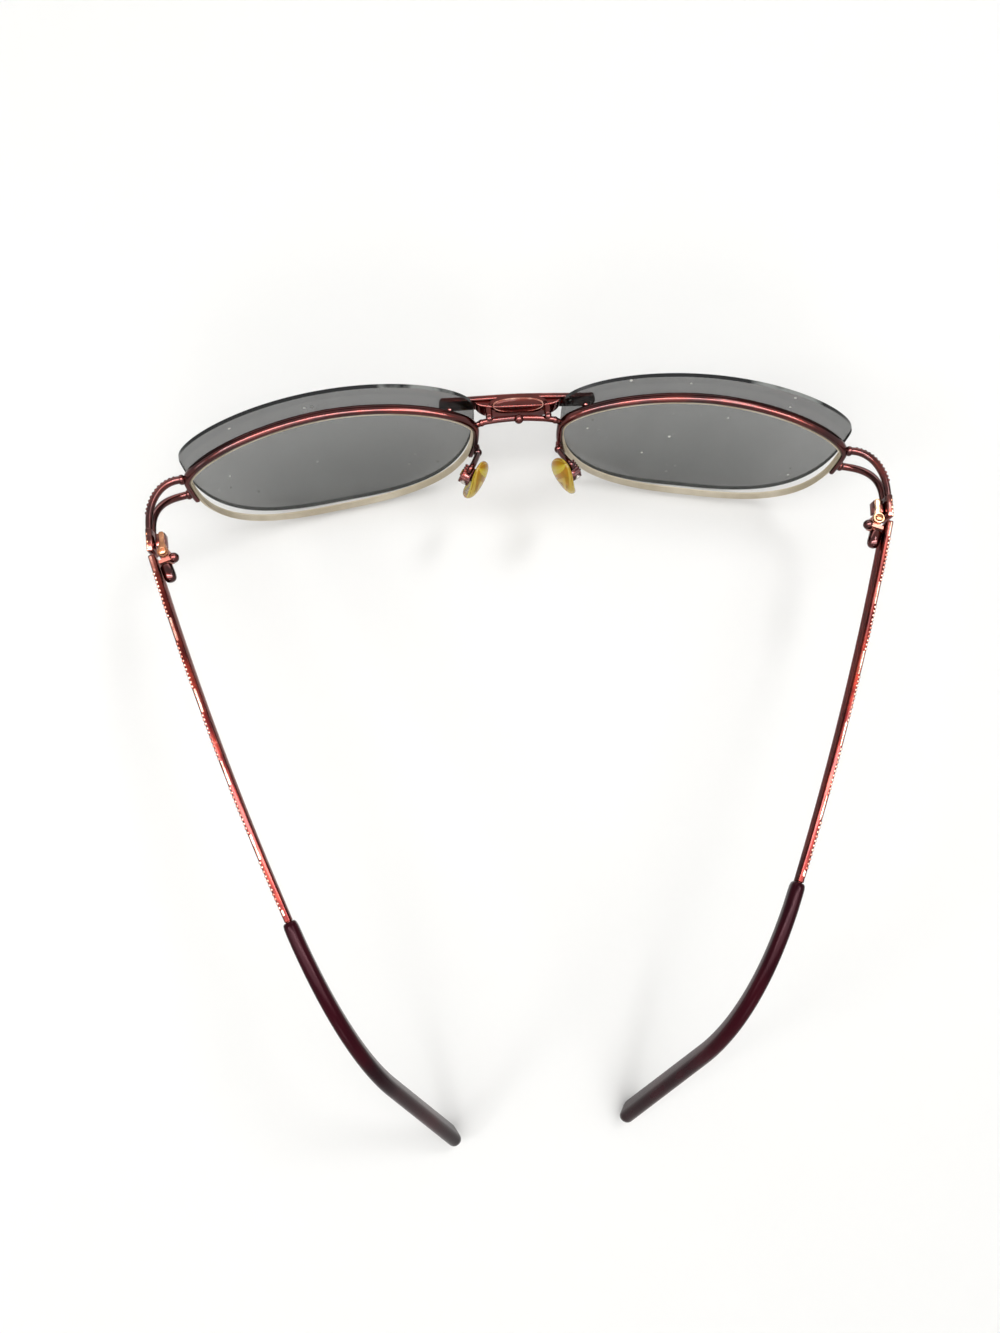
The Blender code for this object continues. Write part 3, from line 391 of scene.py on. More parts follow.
tint = newFinish("greyTint", tintLook, IOR=1.5, Specular_IOR_Level=0.2)
frost = newFinish("groundEdge", frostLook, IOR=1.5, Specular_IOR_Level=0.3)
tintEdge = newFinish("tintedEdge", tintEdgeLook, IOR=1.5, Specular_IOR_Level=0.2)
nylon = newFinish("nylonLine", nylonLook, IOR=1.5)
silicone = newFinish("amberSilicone", padLook, IOR=1.42, Specular_IOR_Level=0.25)
acetate = newFinish("wineAcetate", tipLook, IOR=1.48, Specular_IOR_Level=0.12, Specular_Tint=(0.7, 0.4, 0.45, 1))
print("finishes made")


class Path:
    def __init__(self, points):
        self.points = [Vector(point) for point in points]
        self.run = runOf(self.points)
        self.length = self.run[-1]

    def at(self, distance):
        index, share = locate(self.run, distance)
        here, there = self.points[index], self.points[index + 1]
        return here.lerp(there, share), (there - here).normalized()


def bezier(start, leave, arrive, end, count):
    return [start * (1 - t) ** 3 + leave * 3 * (1 - t) ** 2 * t + arrive * 3 * (1 - t) * t * t + end * t ** 3
            for t in evenly(0, 1, count)]


def tubeRings(points, radius, sides, count, roundEnd=False, flatten=1.0):
    path = Path(points)
    spots = evenly(0, path.length, count)
    if roundEnd:
        quarter = [1 - cos(pi / 2 * step / 6) for step in range(6, 0, -1)]
        spots = ([spot for spot in spots if spot < path.length - radius * 1.05]
                 + [path.length - radius * part for part in quarter] + [path.length - 0.02 * radius])
    rings, across = [], None
    for spot in spots:
        place, along = path.at(spot)
        if across is None:
            across = along.cross(Vector((0, 0, 1)) if abs(along.z) < 0.8 else Vector((1, 0, 0))).normalized()
        across = (across - along * across.dot(along)).normalized()
        up = across.cross(along)
        size = radius(spot / path.length) if callable(radius) else radius
        if roundEnd:
            size = sqrt(max(size ** 2 - max(size - path.length + spot, 0) ** 2, 1e-6))
        rings.append([place + across * size * a + up * size * flatten * b for a, b in around(sides)])
    return rings


def softBox(width, height, radius, steps=5):  # the outline of a box with round corners
    points = []
    for x, y, first in ((1, 1, 0), (-1, 1, 90), (-1, -1, 180), (1, -1, 270)):
        for degrees in evenly(first, first + 90, steps + 1):
            turn = radians(degrees)
            points.append((x * (width / 2 - radius) + radius * cos(turn),
                           y * (height / 2 - radius) + radius * sin(turn)))
    return points


class Shape:
    def __init__(self):
        self.data = bmesh.new()

    def loop(self, points):
        return [self.data.verts.new(point) for point in points]

    def strip(self, loops, materials):  # faces from each loop to the next
        for near, far, material in zip(loops, loops[1:], materials):
            for index in range(len(near)):
                after = (index + 1) % len(near)
                self.data.faces.new((near[index], near[after], far[after], far[index])).material_index = material

    def skin(self, rings, material=0, materials=None):  # closed at both ends
        loops = [self.loop(ring) for ring in rings]
        self.strip(loops, materials or [material] * len(loops))
        for end in (loops[0], loops[-1]):
            self.data.faces.new(end).material_index = material
        return self

    def box(self, low, high, radius, axis="y", material=0):  # a block with soft edges, swept along one axis
        a, b, c = {"x": (1, 2, 0), "y": (0, 2, 1), "z": (0, 1, 2)}[axis]
        bevel, rings = [(1.0, 0.0), (0.3, 0.25), (0.0, 1.0)], []
        places = [(inset, low[c] + step * radius) for inset, step in bevel]
        for inset, place in places + [(inset, high[c] - step * radius) for inset, step in reversed(bevel)]:
            less = 1.98 * inset * radius
            outline = softBox(high[a] - low[a] - less, high[b] - low[b] - less, max(radius * (1 - inset), 0.02))
            points = [{a: (low[a] + high[a]) / 2 + u, b: (low[b] + high[b]) / 2 + v, c: place} for u, v in outline]
            rings.append([[point[part] for part in range(3)] for point in points])
        return self.skin(rings, material)

    def ball(self, centre, radius, squash=(1, 1, 1)):
        place = moved(centre) @ Matrix.Diagonal((*squash, 1))
        bmesh.ops.create_uvsphere(self.data, u_segments=24, v_segments=14, radius=radius, matrix=place)
        return self

    def spun(self, profile, place=worn, material=0):  # (radius, height) spun round z
        return self.skin([[place @ Vector((radius * a, radius * b, height)) for a, b in around(40)]
                          for radius, height in profile], material)

    def finished(self, name):
        bmesh.ops.recalc_face_normals(self.data, faces=self.data.faces)
        mesh = bpy.data.meshes.new(name)
        self.data.to_mesh(mesh)
        self.data.free()
        return mesh


def addObject(name, data):
    thing = bpy.data.objects.new(name, data)
    scene.collection.objects.link(thing)
    return thing


def modified(thing):  # the mesh that the object's modifiers make
    return bpy.data.meshes.new_from_object(thing.evaluated_get(bpy.context.evaluated_depsgraph_get()))


def makePiece(hand, name, shape, place, finishes, body, node="", slot="", sharp=38.0, values=None):
    shape.data.transform(glassesToTable @ mirror[sides.get(hand, 1)] @ place)
    mesh = shape.finished(hand + name)
    for key, numbers in (values or {}).items():
        mesh.attributes.new(key, "FLOAT", "POINT").data.foreach_set("value", numbers)
    dress(hand, name, mesh, finishes, body, node, slot, sharp)


def dress(hand, name, mesh, finishes, body, node, slot, sharp):
    mesh.shade_smooth()
    mesh.set_sharp_from_angle(angle=radians(sharp))
    thing = addObject(hand + name, mesh)
    for finish in finishes:
        mesh.materials.append(finish)
    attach(thing, body)
    before = hand + "_" if hand else ""
    if node:
        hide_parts(before + node)
    before + (slot or node)


class Grower(Maker):  # a geometry tree with named inputs, ending in Realize Instances and Set Material
    def __init__(self, name, build, **inputs):
        super().__init__(bpy.data.node_groups.new(name, "GeometryNodeTree"))
        face = self.tree.interface
        for way in ("INPUT", "OUTPUT"):
            face.new_socket("Geometry", in_out=way, socket_type="NodeSocketGeometry")
        self.ids = {}
        for key, value in {**inputs, "Finish": None}.items():
            kind = {int: "Int", float: "Float"}.get(type(value), "Material")
            socket = face.new_socket(key, in_out="INPUT", socket_type="NodeSocket" + kind)
            socket.default_value = value
            self.ids[key] = socket.identifier
        start = self.tree.nodes.new("NodeGroupInput")
        given = {socket.name: Signal(self, socket) for socket in start.outputs}
        given["Line"] = self.node("GeometryNodeMeshToCurve", {"Mesh": given["Geometry"]})
        whole = self.node("GeometryNodeRealizeInstances", {"Geometry": build(self, given)})
        whole = self.node("GeometryNodeSetShadeSmooth", {"Geometry": whole})
        whole = self.node("GeometryNodeSetMaterial", {"Geometry": whole, "Material": given["Finish"]})
        self.node("NodeGroupOutput", {"Geometry": whole})


def growOn(grower, hand, name, lines, place, finish, body, node="", slot="", **inputs):
    mesh = bpy.data.meshes.new("line")
    points, edges = [], []
    for line in lines:
        edges += [(len(points) + step, len(points) + step + 1) for step in range(len(line) - 1)]
        points += [tuple(tableSpot(place @ Vector(point), sides[hand])) for point in line]
    mesh.from_pydata(points, edges, [])
    base = addObject("line", mesh)
    growth = base.modifiers.new("grow", "NODES")
    growth.node_group = grower.tree
    for key, value in {**inputs, "Finish": finish}.items():
        growth[grower.ids[key]] = value
    grown = modified(base)
    bpy.data.objects.remove(base, do_unlink=True)
    grown.name = hand + name
    grown.materials.clear()
    dress(hand, name, grown, [finish], body, node, slot, 60.0)


def tubeAlong(maker, given):
    ring = maker.node("GeometryNodeCurvePrimitiveCircle", {"Resolution": given["Sides"], "Radius": given["Radius"]})
    line = maker.node("GeometryNodeResampleCurve", {"Curve": given["Line"], "Length": given["Step"]}, mode="LENGTH")
    return maker.node("GeometryNodeCurveToMesh", {"Curve": line, "Profile Curve": ring, "Fill Caps": True})


def beadsAlong(maker, given):
    spots = maker.node("GeometryNodeCurveToPoints", {"Curve": given["Line"], "Length": given["Spacing"]},
                       mode="LENGTH")
    turns = Signal(maker, spots.socket.node.outputs["Rotation"])
    bead = maker.node("GeometryNodeMeshUVSphere", {"Segments": 10, "Rings": 6, "Radius": given["Radius"]})
    size = maker.node("FunctionNodeRandomValue", {"Min_001": 1 - given["Vary"], "Max_001": 1.0,
                                                  "Seed": given["Seed"]}, "Value_001", data_type="FLOAT")
    scale = maker.node("ShaderNodeCombineXYZ", {"X": size, "Y": size, "Z": size * given["Stretch"]})
    return maker.node("GeometryNodeInstanceOnPoints", {"Points": spots, "Instance": bead, "Rotation": turns,
                                                       "Scale": scale})


lineGrower = Grower("lineAlongPath", tubeAlong, Radius=0.2 * mm, Step=0.4 * mm, Sides=12)
beadGrower = Grower("beadsAlongPath", beadsAlong, Radius=0.3 * mm, Spacing=0.6 * mm, Stretch=1.0, Vary=0.1, Seed=7)
print("growers made")


lensMake = {"edgeSteps": 160, "shares": (0.12, 0.3, 0.5, 0.68, 0.82, 0.92)}


def lensShape(outline):
    shape = Shape()
    angles = evenAngles(outline, 0, 2 * pi, lensMake["edgeSteps"] + 1)[:-1]
    half, chamfer, ground = outline["thickness"] / 2, outline["chamfer"], outline["ground"]

    def loopAt(share, depth, grow=0.0):
        points = []
        for angle in angles:
            u, v = edgePoint(outline, angle, grow)
            u, v = u * share, outline["lift"] + (v - outline["lift"]) * share
            points.append((u, sag(u, v) + depth, v))
        return shape.loop(points)

    edges = []
    for depth in (-half, half):
        middle, = shape.loop([(0, sag(0, outline["lift"]) + depth, outline["lift"])])
        loops = [loopAt(share, depth) for share in lensMake["shares"]] + [loopAt(1.0, depth, -outline["band"])]
        shape.strip(loops, [0] * len(loops))
        for here, there in zip(loops[0], loops[0][1:] + loops[0][:1]):
            shape.data.faces.new((middle, here, there))
        edges += [loops[-1], loopAt(1.0, depth, -chamfer)]
    walls = [loopAt(1.0, depth) for depth in (-half + chamfer, half - chamfer)]
    shape.strip([edges[0], edges[1], *walls, edges[3], edges[2]], [0, ground, 1, ground, ground])
    return shape


rim = {"gap": 0.2, "thickness": 1.0, "depth": 1.8, "flat": 0.86, "groove": (0.9, 0.55), "start": -12.0,
       "end": 198.0, "stations": 150}
rimStart, rimEnd = radians(rim["start"]), radians(rim["end"])


def rimShape():
    half, wall, groove = rim["depth"] / 2, rim["groove"][0] / 2, rim["groove"][1]
    flat = half * rim["flat"]
    profile = [(0.0, -flat), (0.0, -wall), (groove, -wall), (groove, wall), (0.0, wall), (0.0, flat)]
    for turn in evenly(pi / 2, -pi / 2, 17):
        profile.append((rim["thickness"] * (0.12 + 0.88 * abs(cos(turn)) ** 0.5), half * sin(turn)))
    return Shape().skin([[besideEdge(angle, rim["gap"] + out, depth) for out, depth in profile]
                         for angle in evenAngles(clearLens, rimStart, rimEnd, rim["stations"])])


cord = {"radius": 0.2, "offset": 0.35, "tuck": 1.5, "steps": 90}
cordStart = walkEdge(clearLens, rimEnd, -cord["tuck"])
cordEnd = walkEdge(clearLens, rimStart, cord["tuck"]) + 2 * pi
cordLine = [besideEdge(angle, cord["offset"]) for angle in evenAngles(clearLens, cordStart, cordEnd, cord["steps"])]

for hand in sides:
    makePiece(hand, "ClearLens", lensShape(clearLens), lensFrame, [clear, frost], "front", "lens")
    makePiece(hand, "TintedLens", lensShape(tintedLens), clipFrame, [tint, tintEdge], "clip_on", "clip_lens")
    makePiece(hand, "Eyewire", rimShape(), lensFrame, [wine], "front", "eyewire", sharp=50)
    growOn(lineGrower, hand, "NylonLine", [cordLine], lensFrame, nylon, "front", "nylon_cord",
           Radius=cord["radius"] * mm)
print("lenses, eyewires and cords made")

bridge = {"radius": 0.55, "rise": 0.7, "bow": 0.2, "stub": 0.9, "angle": 174.0, "overlap": 0.05, "blob": 0.66,
          "studRadius": 0.84, "studAt": (0.5, 0.35)}
bridgeAngle = radians(bridge["angle"])
bridgeFoot = onLens(bridgeAngle, rim["gap"] * 2 + rim["thickness"] + bridge["stub"])
bridgeEnd = onLens(bridgeAngle, rim["gap"] + rim["thickness"] + bridge["overlap"])


def bridgeAt(x):
    share = 1 - (x / bridgeFoot.x) ** 2
    return Vector((x, bridgeFoot.y - bridge["bow"] * share, bridgeFoot.z + bridge["rise"] * share))


arch = [bridgeAt(x) for x in evenly(bridgeFoot.x, -bridgeFoot.x, 61)]
shape = Shape().skin(tubeRings([bridgeEnd, *arch, mirror[-1] @ bridgeEnd], bridge["radius"], 20, 90))
solder = bridgeEnd.lerp(bridgeFoot, 0.75)
for spot in (solder, mirror[-1] @ solder):  # solder beads where the bridge meets the rims
    shape.ball(spot, bridge["blob"], (1.0, 1.0, 0.95))
makePiece("", "bridgeWire", shape, worn, [wine], "front", "bridge", sharp=60)
studBack, studUp = bridge["studAt"]
stud = bridgeAt(0.0) + liftBack * studBack + liftUp * studUp
makePiece("", "bridgeStud", Shape().ball(stud, bridge["studRadius"]), worn, [wine], "front", "bridge_stud",
          sharp=60)

pads = {"outset": 1.4, "setback": 7.5, "lower": 2.9, "splay": 30.0, "flare": 12.0, "size": (1.8, 6.6, 11.8),
        "box": (2.0, 2.6, 3.2), "gap": 0.5, "bend": 13.0, "stem": (0.95, 0.5, 0.8), "soft": 0.22,
        "room": (0.62, 1.12), "arm": 0.54, "armAngle": 188.0, "stub": 1.0, "ribStep": 0.52, "ribEnds": (0.1, 0.35)}
padAt = onLens(pi) + Vector((pads["outset"], pads["setback"], -pads["lower"]))
padFrame = moved(padAt) @ turned(-pads["splay"], "Z") @ turned(-pads["flare"], "Y")
boxDeep, boxWide, boxHigh = (size / 2 for size in pads["box"])


def padShape():  # the cushion and its stem, with two values per point that the look follows
    shape = Shape()
    bmesh.ops.create_uvsphere(shape.data, u_segments=56, v_segments=36, radius=1.0)
    thickness, width, height = pads["size"]
    away = boxDeep + pads["gap"] + thickness / 2
    shares, heights = [], []
    for vert in shape.data.verts:
        reach = min(hypot(vert.co.y, vert.co.z), 1.0)
        shares.append(reach)
        heights.append(vert.co.z)
        x = copysign((1 - reach ** 4) ** 0.45, vert.co.x) * thickness / 2
        y, z = vert.co.y * width / 2, vert.co.z * height / 2
        vert.co = (x - away + (y * y * 0.7 + z * z) / (2 * pads["bend"]), y, z)
    inward, across, up = pads["stem"]
    shape.box((-boxDeep - pads["gap"] - inward, -across, -up), (1.2, across, up), 0.15, "x")
    stem = len(shape.data.verts) - len(shares)
    return shape, {"rimShare": shares + [2.0] * stem, "height": heights + [1.0] * stem}


def padBoxShape():  # four walls round the stem
    shape, (roomWide, roomHigh), lip = Shape(), pads["room"], 0.1
    for low, top in ((-boxHigh, -roomHigh), (roomHigh, boxHigh)):
        shape.box((-boxDeep, -boxWide, low), (boxDeep, boxWide, top), pads["soft"], "z")
    for low, top in ((-boxWide, -roomWide), (roomWide, boxWide)):
        shape.box((-boxDeep, low, -boxHigh + lip), (boxDeep, top, boxHigh - lip), pads["soft"], "z")
    return shape


ribs, (near, far) = [], pads["ribEnds"]
for level in range(5):
    y, z = (level - 2) * pads["ribStep"], boxHigh - 0.5 - level * pads["ribStep"]
    half = [(-boxDeep, boxHigh - far), (-boxDeep, boxHigh - near), (-boxDeep + near, boxHigh)]
    ribs.append([(x, y, top) for x, top in half + [(-x, top) for x, top in reversed(half)]])
    ribs.append([(x, boxWide, z) for x in (-boxDeep + near, 0, boxDeep - near)])

middle, armAngle = rim["gap"] + rim["thickness"] / 2, radians(pads["armAngle"])
start, leave = (onLens(armAngle, middle, rim["depth"] / 2 + away) for away in (0.1, 0.2 + pads["stub"]))
foot, arrive = (padFrame @ Vector((0, 0, boxHigh + away)) for away in (0.1, 0.2 + pads["stub"]))
sweep = bezier(leave, leave * 2 - start, arrive * 2 - foot, arrive, 40)

for hand in sides:
    shape, values = padShape()
    makePiece(hand, "NosePad", shape, padFrame, [silicone], hand + "_pad", "nose_pad", sharp=60, values=values)
    makePiece(hand, "PadBox", padBoxShape(), padFrame, [wine], "front", "pad_box")
    growOn(lineGrower, hand, "PadRibs", ribs, padFrame, wine, "front", slot="pad_box", Radius=0.17 * mm,
           Step=0.2 * mm, Sides=8)
    shape = Shape().skin(tubeRings([start, *sweep, foot], pads["arm"], 18, 60)).ball(sweep[4], pads["arm"] * 1.45)
    makePiece(hand, "PadArm", shape, worn, [wine], "front", "pad_arm", sharp=60)
print("bridge and nose pads made")

arms = {"radius": 0.7, "taper": 0.1, "angles": (5.0, -7.5), "rise": 1.05, "leave": 3.0, "arrive": 6.0, "ball": 0.92,
        "beadRun": (0.10, 0.72), "beadAt": (0.61, 0.42)}
butt = {"inner": 1.4, "thickness": 1.1, "height": 3.8, "length": 4.4, "gap": 0.2, "soft": 0.28}
buttCentre, buttOuter = butt["inner"] + butt["thickness"] / 2, butt["inner"] + butt["thickness"]
toHinge = hingeFrame.inverted()


def armLine(angle, height):
    grow = rim["gap"] * 2 + rim["thickness"]
    start, leave = (toHinge @ onLens(radians(angle), grow + more) for more in (-0.1, arms["leave"]))
    arrive, foot, end = (Vector((buttCentre, more - butt["length"], height)) for more in (-arms["arrive"], 0, 0.9))
    return bezier(start, leave, arrive, foot, 60) + [end]


upperArm, lowerArm = (armLine(*way) for way in zip(arms["angles"], (arms["rise"], -arms["rise"])))
armPath, armBeads = Path(upperArm), []
for share in evenly(*arms["beadRun"], 60):
    place, along = armPath.at(armPath.length * share)
    out, up = (arms["radius"] * part for part in arms["beadAt"])
    armBeads.append(place + Vector((along.y, -along.x, 0)).normalized() * out + Vector((0, 0, up)))
buttBeads = [(buttOuter - 0.24, y, butt["height"] / 2 - 0.2) for y in evenly(-3.3, -0.5, 13)]

for hand in sides:
    shape = Shape().box((butt["inner"], -butt["length"], -butt["height"] / 2),
                        (buttOuter, -butt["gap"] / 2, butt["height"] / 2), butt["soft"])
    for line in (upperArm, lowerArm):
        shape.skin(tubeRings(line, lambda share: arms["radius"] - arms["taper"] * share, 22, 60))
        shape.ball(line[1], arms["ball"], (0.8, 1.0, 1.0))
    makePiece(hand, "Endpiece", shape, hingeFrame, [wineWorn], "front", "endpiece", sharp=50)
    growOn(beadGrower, hand, "ArmBeads", [armBeads], hingeFrame, wineWorn, "front", slot="endpiece",
           Radius=0.31 * mm, Spacing=0.74 * mm)
    growOn(beadGrower, hand, "ButtPatch", [buttBeads], hingeFrame, rose, "front", slot="endpiece",
           Radius=0.26 * mm, Spacing=0.62 * mm, Stretch=1.5, Vary=0.3, Seed=11)
print("endpieces made")

knuckle = {"radius": 1.0, "height": 2.6, "slot": 1.3, "soft": 0.12, "screwHead": (0.7, 0.35), "tongue": 3.6,
           "ball": (-1.3, 1.45, 0.4), "ballRadius": 0.9, "housing": (2.1, 2.0), "housingRun": (2.05, 5.3),
           "housingAt": 0.41,
           "finger": ((-3.6, 0.26), (-3.5, 0.40), (-3.3, 0.48), (-2.9, 0.46), (-2.3, 0.40), (-1.7, 0.44),
                      (-1.0, 0.66), (-0.3, 0.85))}
slotTop, top = knuckle["slot"] / 2, knuckle["height"] / 2


def discProfile(low, high):
    radius, soft = knuckle["radius"], knuckle["soft"]
    half = [(0.001, 0.0), (radius - soft, 0.0), (radius - soft * 0.3, soft * 0.3), (radius, soft)]
    return [(out, low + up) for out, up in half] + [(out, high - up) for out, up in reversed(half)]


def hingeFrontShape():  # two discs on the front's side of the hinge, a pale finger on the upper one and a tongue
    shape = Shape().spun(discProfile(-top, -slotTop), material=1).spun(discProfile(slotTop, top))
    middle, thick = (slotTop + top) / 2, top - slotTop - 0.02
    shape.skin([[(a, y, middle + b) for a, b in softBox(half * 2, thick, knuckle["soft"], 3)]
                for y, half in knuckle["finger"]])
    shape.box((-0.5, -knuckle["tongue"], -top), (1.2, -1.3, slotTop), 0.15, material=1)
    return shape.spun([(0.72, top), (0.76, top + 0.08), (0.90, top + 0.08), (0.97, top)])


def screwShape():  # a slotted screw
    (radius, tall), under = knuckle["screwHead"], top + 0.1
    shape, cutter = Shape(), Shape()
    shape.spun([(0.001, -top), (0.4, -top), (0.4, under - 0.02), (radius - 0.05, under), (radius, under + 0.06),
                (radius * 0.96, under + tall * 0.6), (radius * 0.78, under + tall * 0.9), (0.001, under + tall)])
    bmesh.ops.create_cube(cutter.data, size=1.0, matrix=moved((0, 0, under + tall))
                          @ turned(35, "Z") @ Matrix.Diagonal((3.0, 0.26, 0.4, 1)))
    whole, blade = (addObject("screwPart", part.finished("screwPart")) for part in (shape, cutter))
    cut = whole.modifiers.new("slot", "BOOLEAN")
    cut.object, cut.operation, cut.solver = blade, "DIFFERENCE", "EXACT"
    slotted = Shape()
    slotted.data.from_mesh(modified(whole))
    for thing in (whole, blade):
        bpy.data.objects.remove(thing, do_unlink=True)
    return slotted


def housingShape():
    (wide, tall), (near, far), rings = knuckle["housing"], knuckle["housingRun"], []
    for y, share in ((near, 0.55), (near + 0.08, 0.84), (near + 0.3, 1.0), (far - 1.1, 1.0), (far - 0.6, 0.92),
                     (far - 0.25, 0.74), (far - 0.06, 0.48), (far, 0.2)):
        outline = softBox(wide * share, tall * share, wide * share * 0.44, 6)
        rings.append([(knuckle["housingAt"] + a, y, b) for a, b in outline])
    return Shape().skin(rings)


for hand, side in sides.items():
    # the upper disc and finger are pale rose on the right and darker bronze on the left, though the real hinges are
    # alike: the darker left is painted shade
    makePiece(hand, "HingeFront", hingeFrontShape(), hingeFrame, [rose if side < 0 else bronze, wineWorn], "front",
              "hinge_front")
    makePiece(hand, "HingeScrew", screwShape(), hingeFrame, [bronze], "front", "hinge_screw")
    makePiece(hand, "HingeBall", Shape().ball(knuckle["ball"], knuckle["ballRadius"]), foldFrames[hand], [wine],
              hand + "_carriage", slot="hinge_carriage", sharp=60)
    makePiece(hand, "SpringHousing", housingShape(), foldFrames[hand], [wine], hand + "_temple", "spring_housing",
              sharp=50)
print("hinges made")

temple = {"bend": 87.8, "dropLength": 51.2, "drop": 58.0, "tuck": 14.9, "bow": 1.5, "reach": 18.0, "sleeve": 65.8,
          "endHeight": 2.2, "core": (0.9, 1.4), "coreMargin": 6.0, "sleeveSize": (2.3, 3.0), "tipSize": (2.6, 4.4),
          "tipRound": 2.6, "tipCorner": 0.46, "lips": ((0.0, 0.74), (0.004, 0.9), (0.012, 0.97)), "slim": 0.99}


def templeLine():  # straight with a slight bow, round the bend, then down behind the ear
    drop, tuck = radians(temple["drop"]), radians(temple["tuck"])
    away = Vector((-sin(tuck) * cos(drop), cos(tuck) * cos(drop), -sin(drop)))
    points = []
    for y in evenly(0, temple["bend"] - temple["reach"], 81):
        share = y / temple["bend"]
        points.append(Vector((buttCentre * (1 - share) + 4 * temple["bow"] * share * (1 - share), y, 0)))
    corner = Vector((0, temple["bend"], 0))
    before, after = points[-1], corner + away * temple["reach"]
    points += [before * (1 - t) ** 2 + corner * 2 * t * (1 - t) + after * t * t for t in evenly(0, 1, 61)[1:]]
    end = corner + away * temple["dropLength"]
    return points + [after.lerp(end, share) for share in evenly(0, 1, 41)[1:]]


rail = Path(templeLine())


def railRing(distance, outline):
    place, along = rail.at(distance)
    across = Vector((along.y, -along.x, 0)).normalized()
    up = across.cross(along)
    return [place + across * a + up * b for a, b in outline]


def barHeight(distance):
    share = min(max(distance / temple["sleeve"], 0), 1)
    return butt["height"] + (temple["endHeight"] - butt["height"]) * share


def barShape():  # the bar and the core wire in one piece, with each point's run and height for the look
    start, sections = butt["gap"] / 2, []
    for spot in [start, start + 0.06, *evenly(start + 0.2, temple["sleeve"], 111)]:
        less = 0.25 if spot == start else 0.075 if spot < start + 0.1 else 0.0
        tall = barHeight(spot)
        sections.append((spot, tall / 2, softBox(butt["thickness"] - less, tall - less, butt["soft"])))
    for spot in evenly(temple["sleeve"] + 0.1, rail.length - temple["coreMargin"], 50):
        sections.append((spot, inf, softBox(*temple["core"], 0.3)))
    values = {"along": [spot for spot, half, outline in sections for point in outline],
              "rise": [b / half for spot, half, outline in sections for a, b in outline]}
    return Shape().skin([railRing(spot, outline) for spot, half, outline in sections]), values


def tipShape():
    near, far = temple["sleeve"] + 0.2, rail.length - temple["tipRound"]
    (thinStart, tallStart), (thinEnd, tallEnd) = temple["sleeveSize"], temple["tipSize"]
    corner, slim = temple["tipCorner"], temple["slim"]
    rings = []
    for share, lip in [*temple["lips"], *((share, slim) for share in evenly(0.025, 1, 91))]:
        thin = (thinStart + (thinEnd - thinStart) * share) * lip
        tall = (tallStart + (tallEnd - tallStart) * share) * lip
        rings.append(railRing(near + (far - near) * share, softBox(thin, tall, thin * corner, 6)))
    for step in range(1, 10):
        turn = pi / 2 * step / 9.3
        size = cos(turn) ** 0.7
        rings.append(railRing(far + temple["tipRound"] * sin(turn) * slim,
                              softBox(thinEnd * size, tallEnd * size, thinEnd * size * corner, 6)))
    return Shape().skin(rings)


beads = {"radius": 0.29, "spacing": 0.78, "run": 7.8, "gap": 5.2, "first": 3.6, "facet": 0.32, "space": 0.5,
         "beadInset": (0.2, 0.1), "facetInset": (0.42, 0.2)}


def barEdge(begin, end, level, inset):  # a line along the bar's upper or lower outer edge
    aside, below = beads[inset]
    return [railRing(spot, [(butt["thickness"] / 2 - aside, level * (barHeight(spot) / 2 - below))])[0]
            for spot in evenly(begin, end, 20)]


beadLines, facetLines = [], []
for level in (1, -1):
    spot = beads["first"]
    facetLines.append(barEdge(0.4, spot - 0.4, level, "facetInset"))
    while spot + beads["run"] < temple["sleeve"] - 2:
        beadEnd = spot + beads["run"]
        beadLines.append(barEdge(spot, beadEnd, level, "beadInset"))
        spot = beadEnd + beads["gap"]
        facetLines.append(barEdge(beadEnd + beads["space"], min(spot - beads["space"], temple["sleeve"] - 1), level,
                                  "facetInset"))

for hand, place in foldFrames.items():
    body = hand + "_temple"
    shape, values = barShape()
    makePiece(hand, "TempleBar", shape, place, [wineBar], body, "temple_bar", values=values)
    # the beads and facets along the bar's upper and lower edges are pale pink, partly a painted highlight on those
    # edges
    growOn(beadGrower, hand, "BarBeads", beadLines, place, pinkEdge, body, slot="temple_bar",
           Radius=beads["radius"] * mm, Spacing=beads["spacing"] * mm, Vary=0.12, Seed=3)
    growOn(lineGrower, hand, "BarFacets", facetLines, place, pinkEdge, body, slot="temple_bar",
           Radius=beads["facet"] * mm)
    makePiece(hand, "TempleTip", tipShape(), place, [acetate], body, "temple_tip", sharp=55)
print("temples made")

clip = {"lugInset": 5.6, "lugRaise": 2.8, "lugLength": 3.2, "thickness": 1.0, "height": 3.0, "lower": 0.25,
        "round": 0.8, "rise": 0.6, "hook": 0.42, "hookWide": 0.62, "hookAt": 5.3, "hookAngles": (125.0, 62.0),
        "rivet": (0.85, 0.4), "rivetIn": 1.3}
lugU = clip["lugInset"] - tintedLens["width"] / 2
lugDepth = -tintedLens["thickness"] / 2 - 0.2 - clip["thickness"] / 2


def lugSpot(u):
    return clipFrame @ Vector((u, sag(u, clip["lugRaise"]) + lugDepth, clip["lugRaise"]))


def clipLine():
    end, lug, inner = (lugSpot(lugU + share * clip["lugLength"]) for share in (0.1, -0.2, -0.6))
    middle = Vector((0, inner.y, inner.z + clip["rise"]))
    half = [end, lug] + bezier(inner, inner * 2 - lug, middle + Vector((inner.x / 3, 0, 0)), middle, 40)
    return half + [mirror[-1] @ point for point in reversed(half[:-1])]


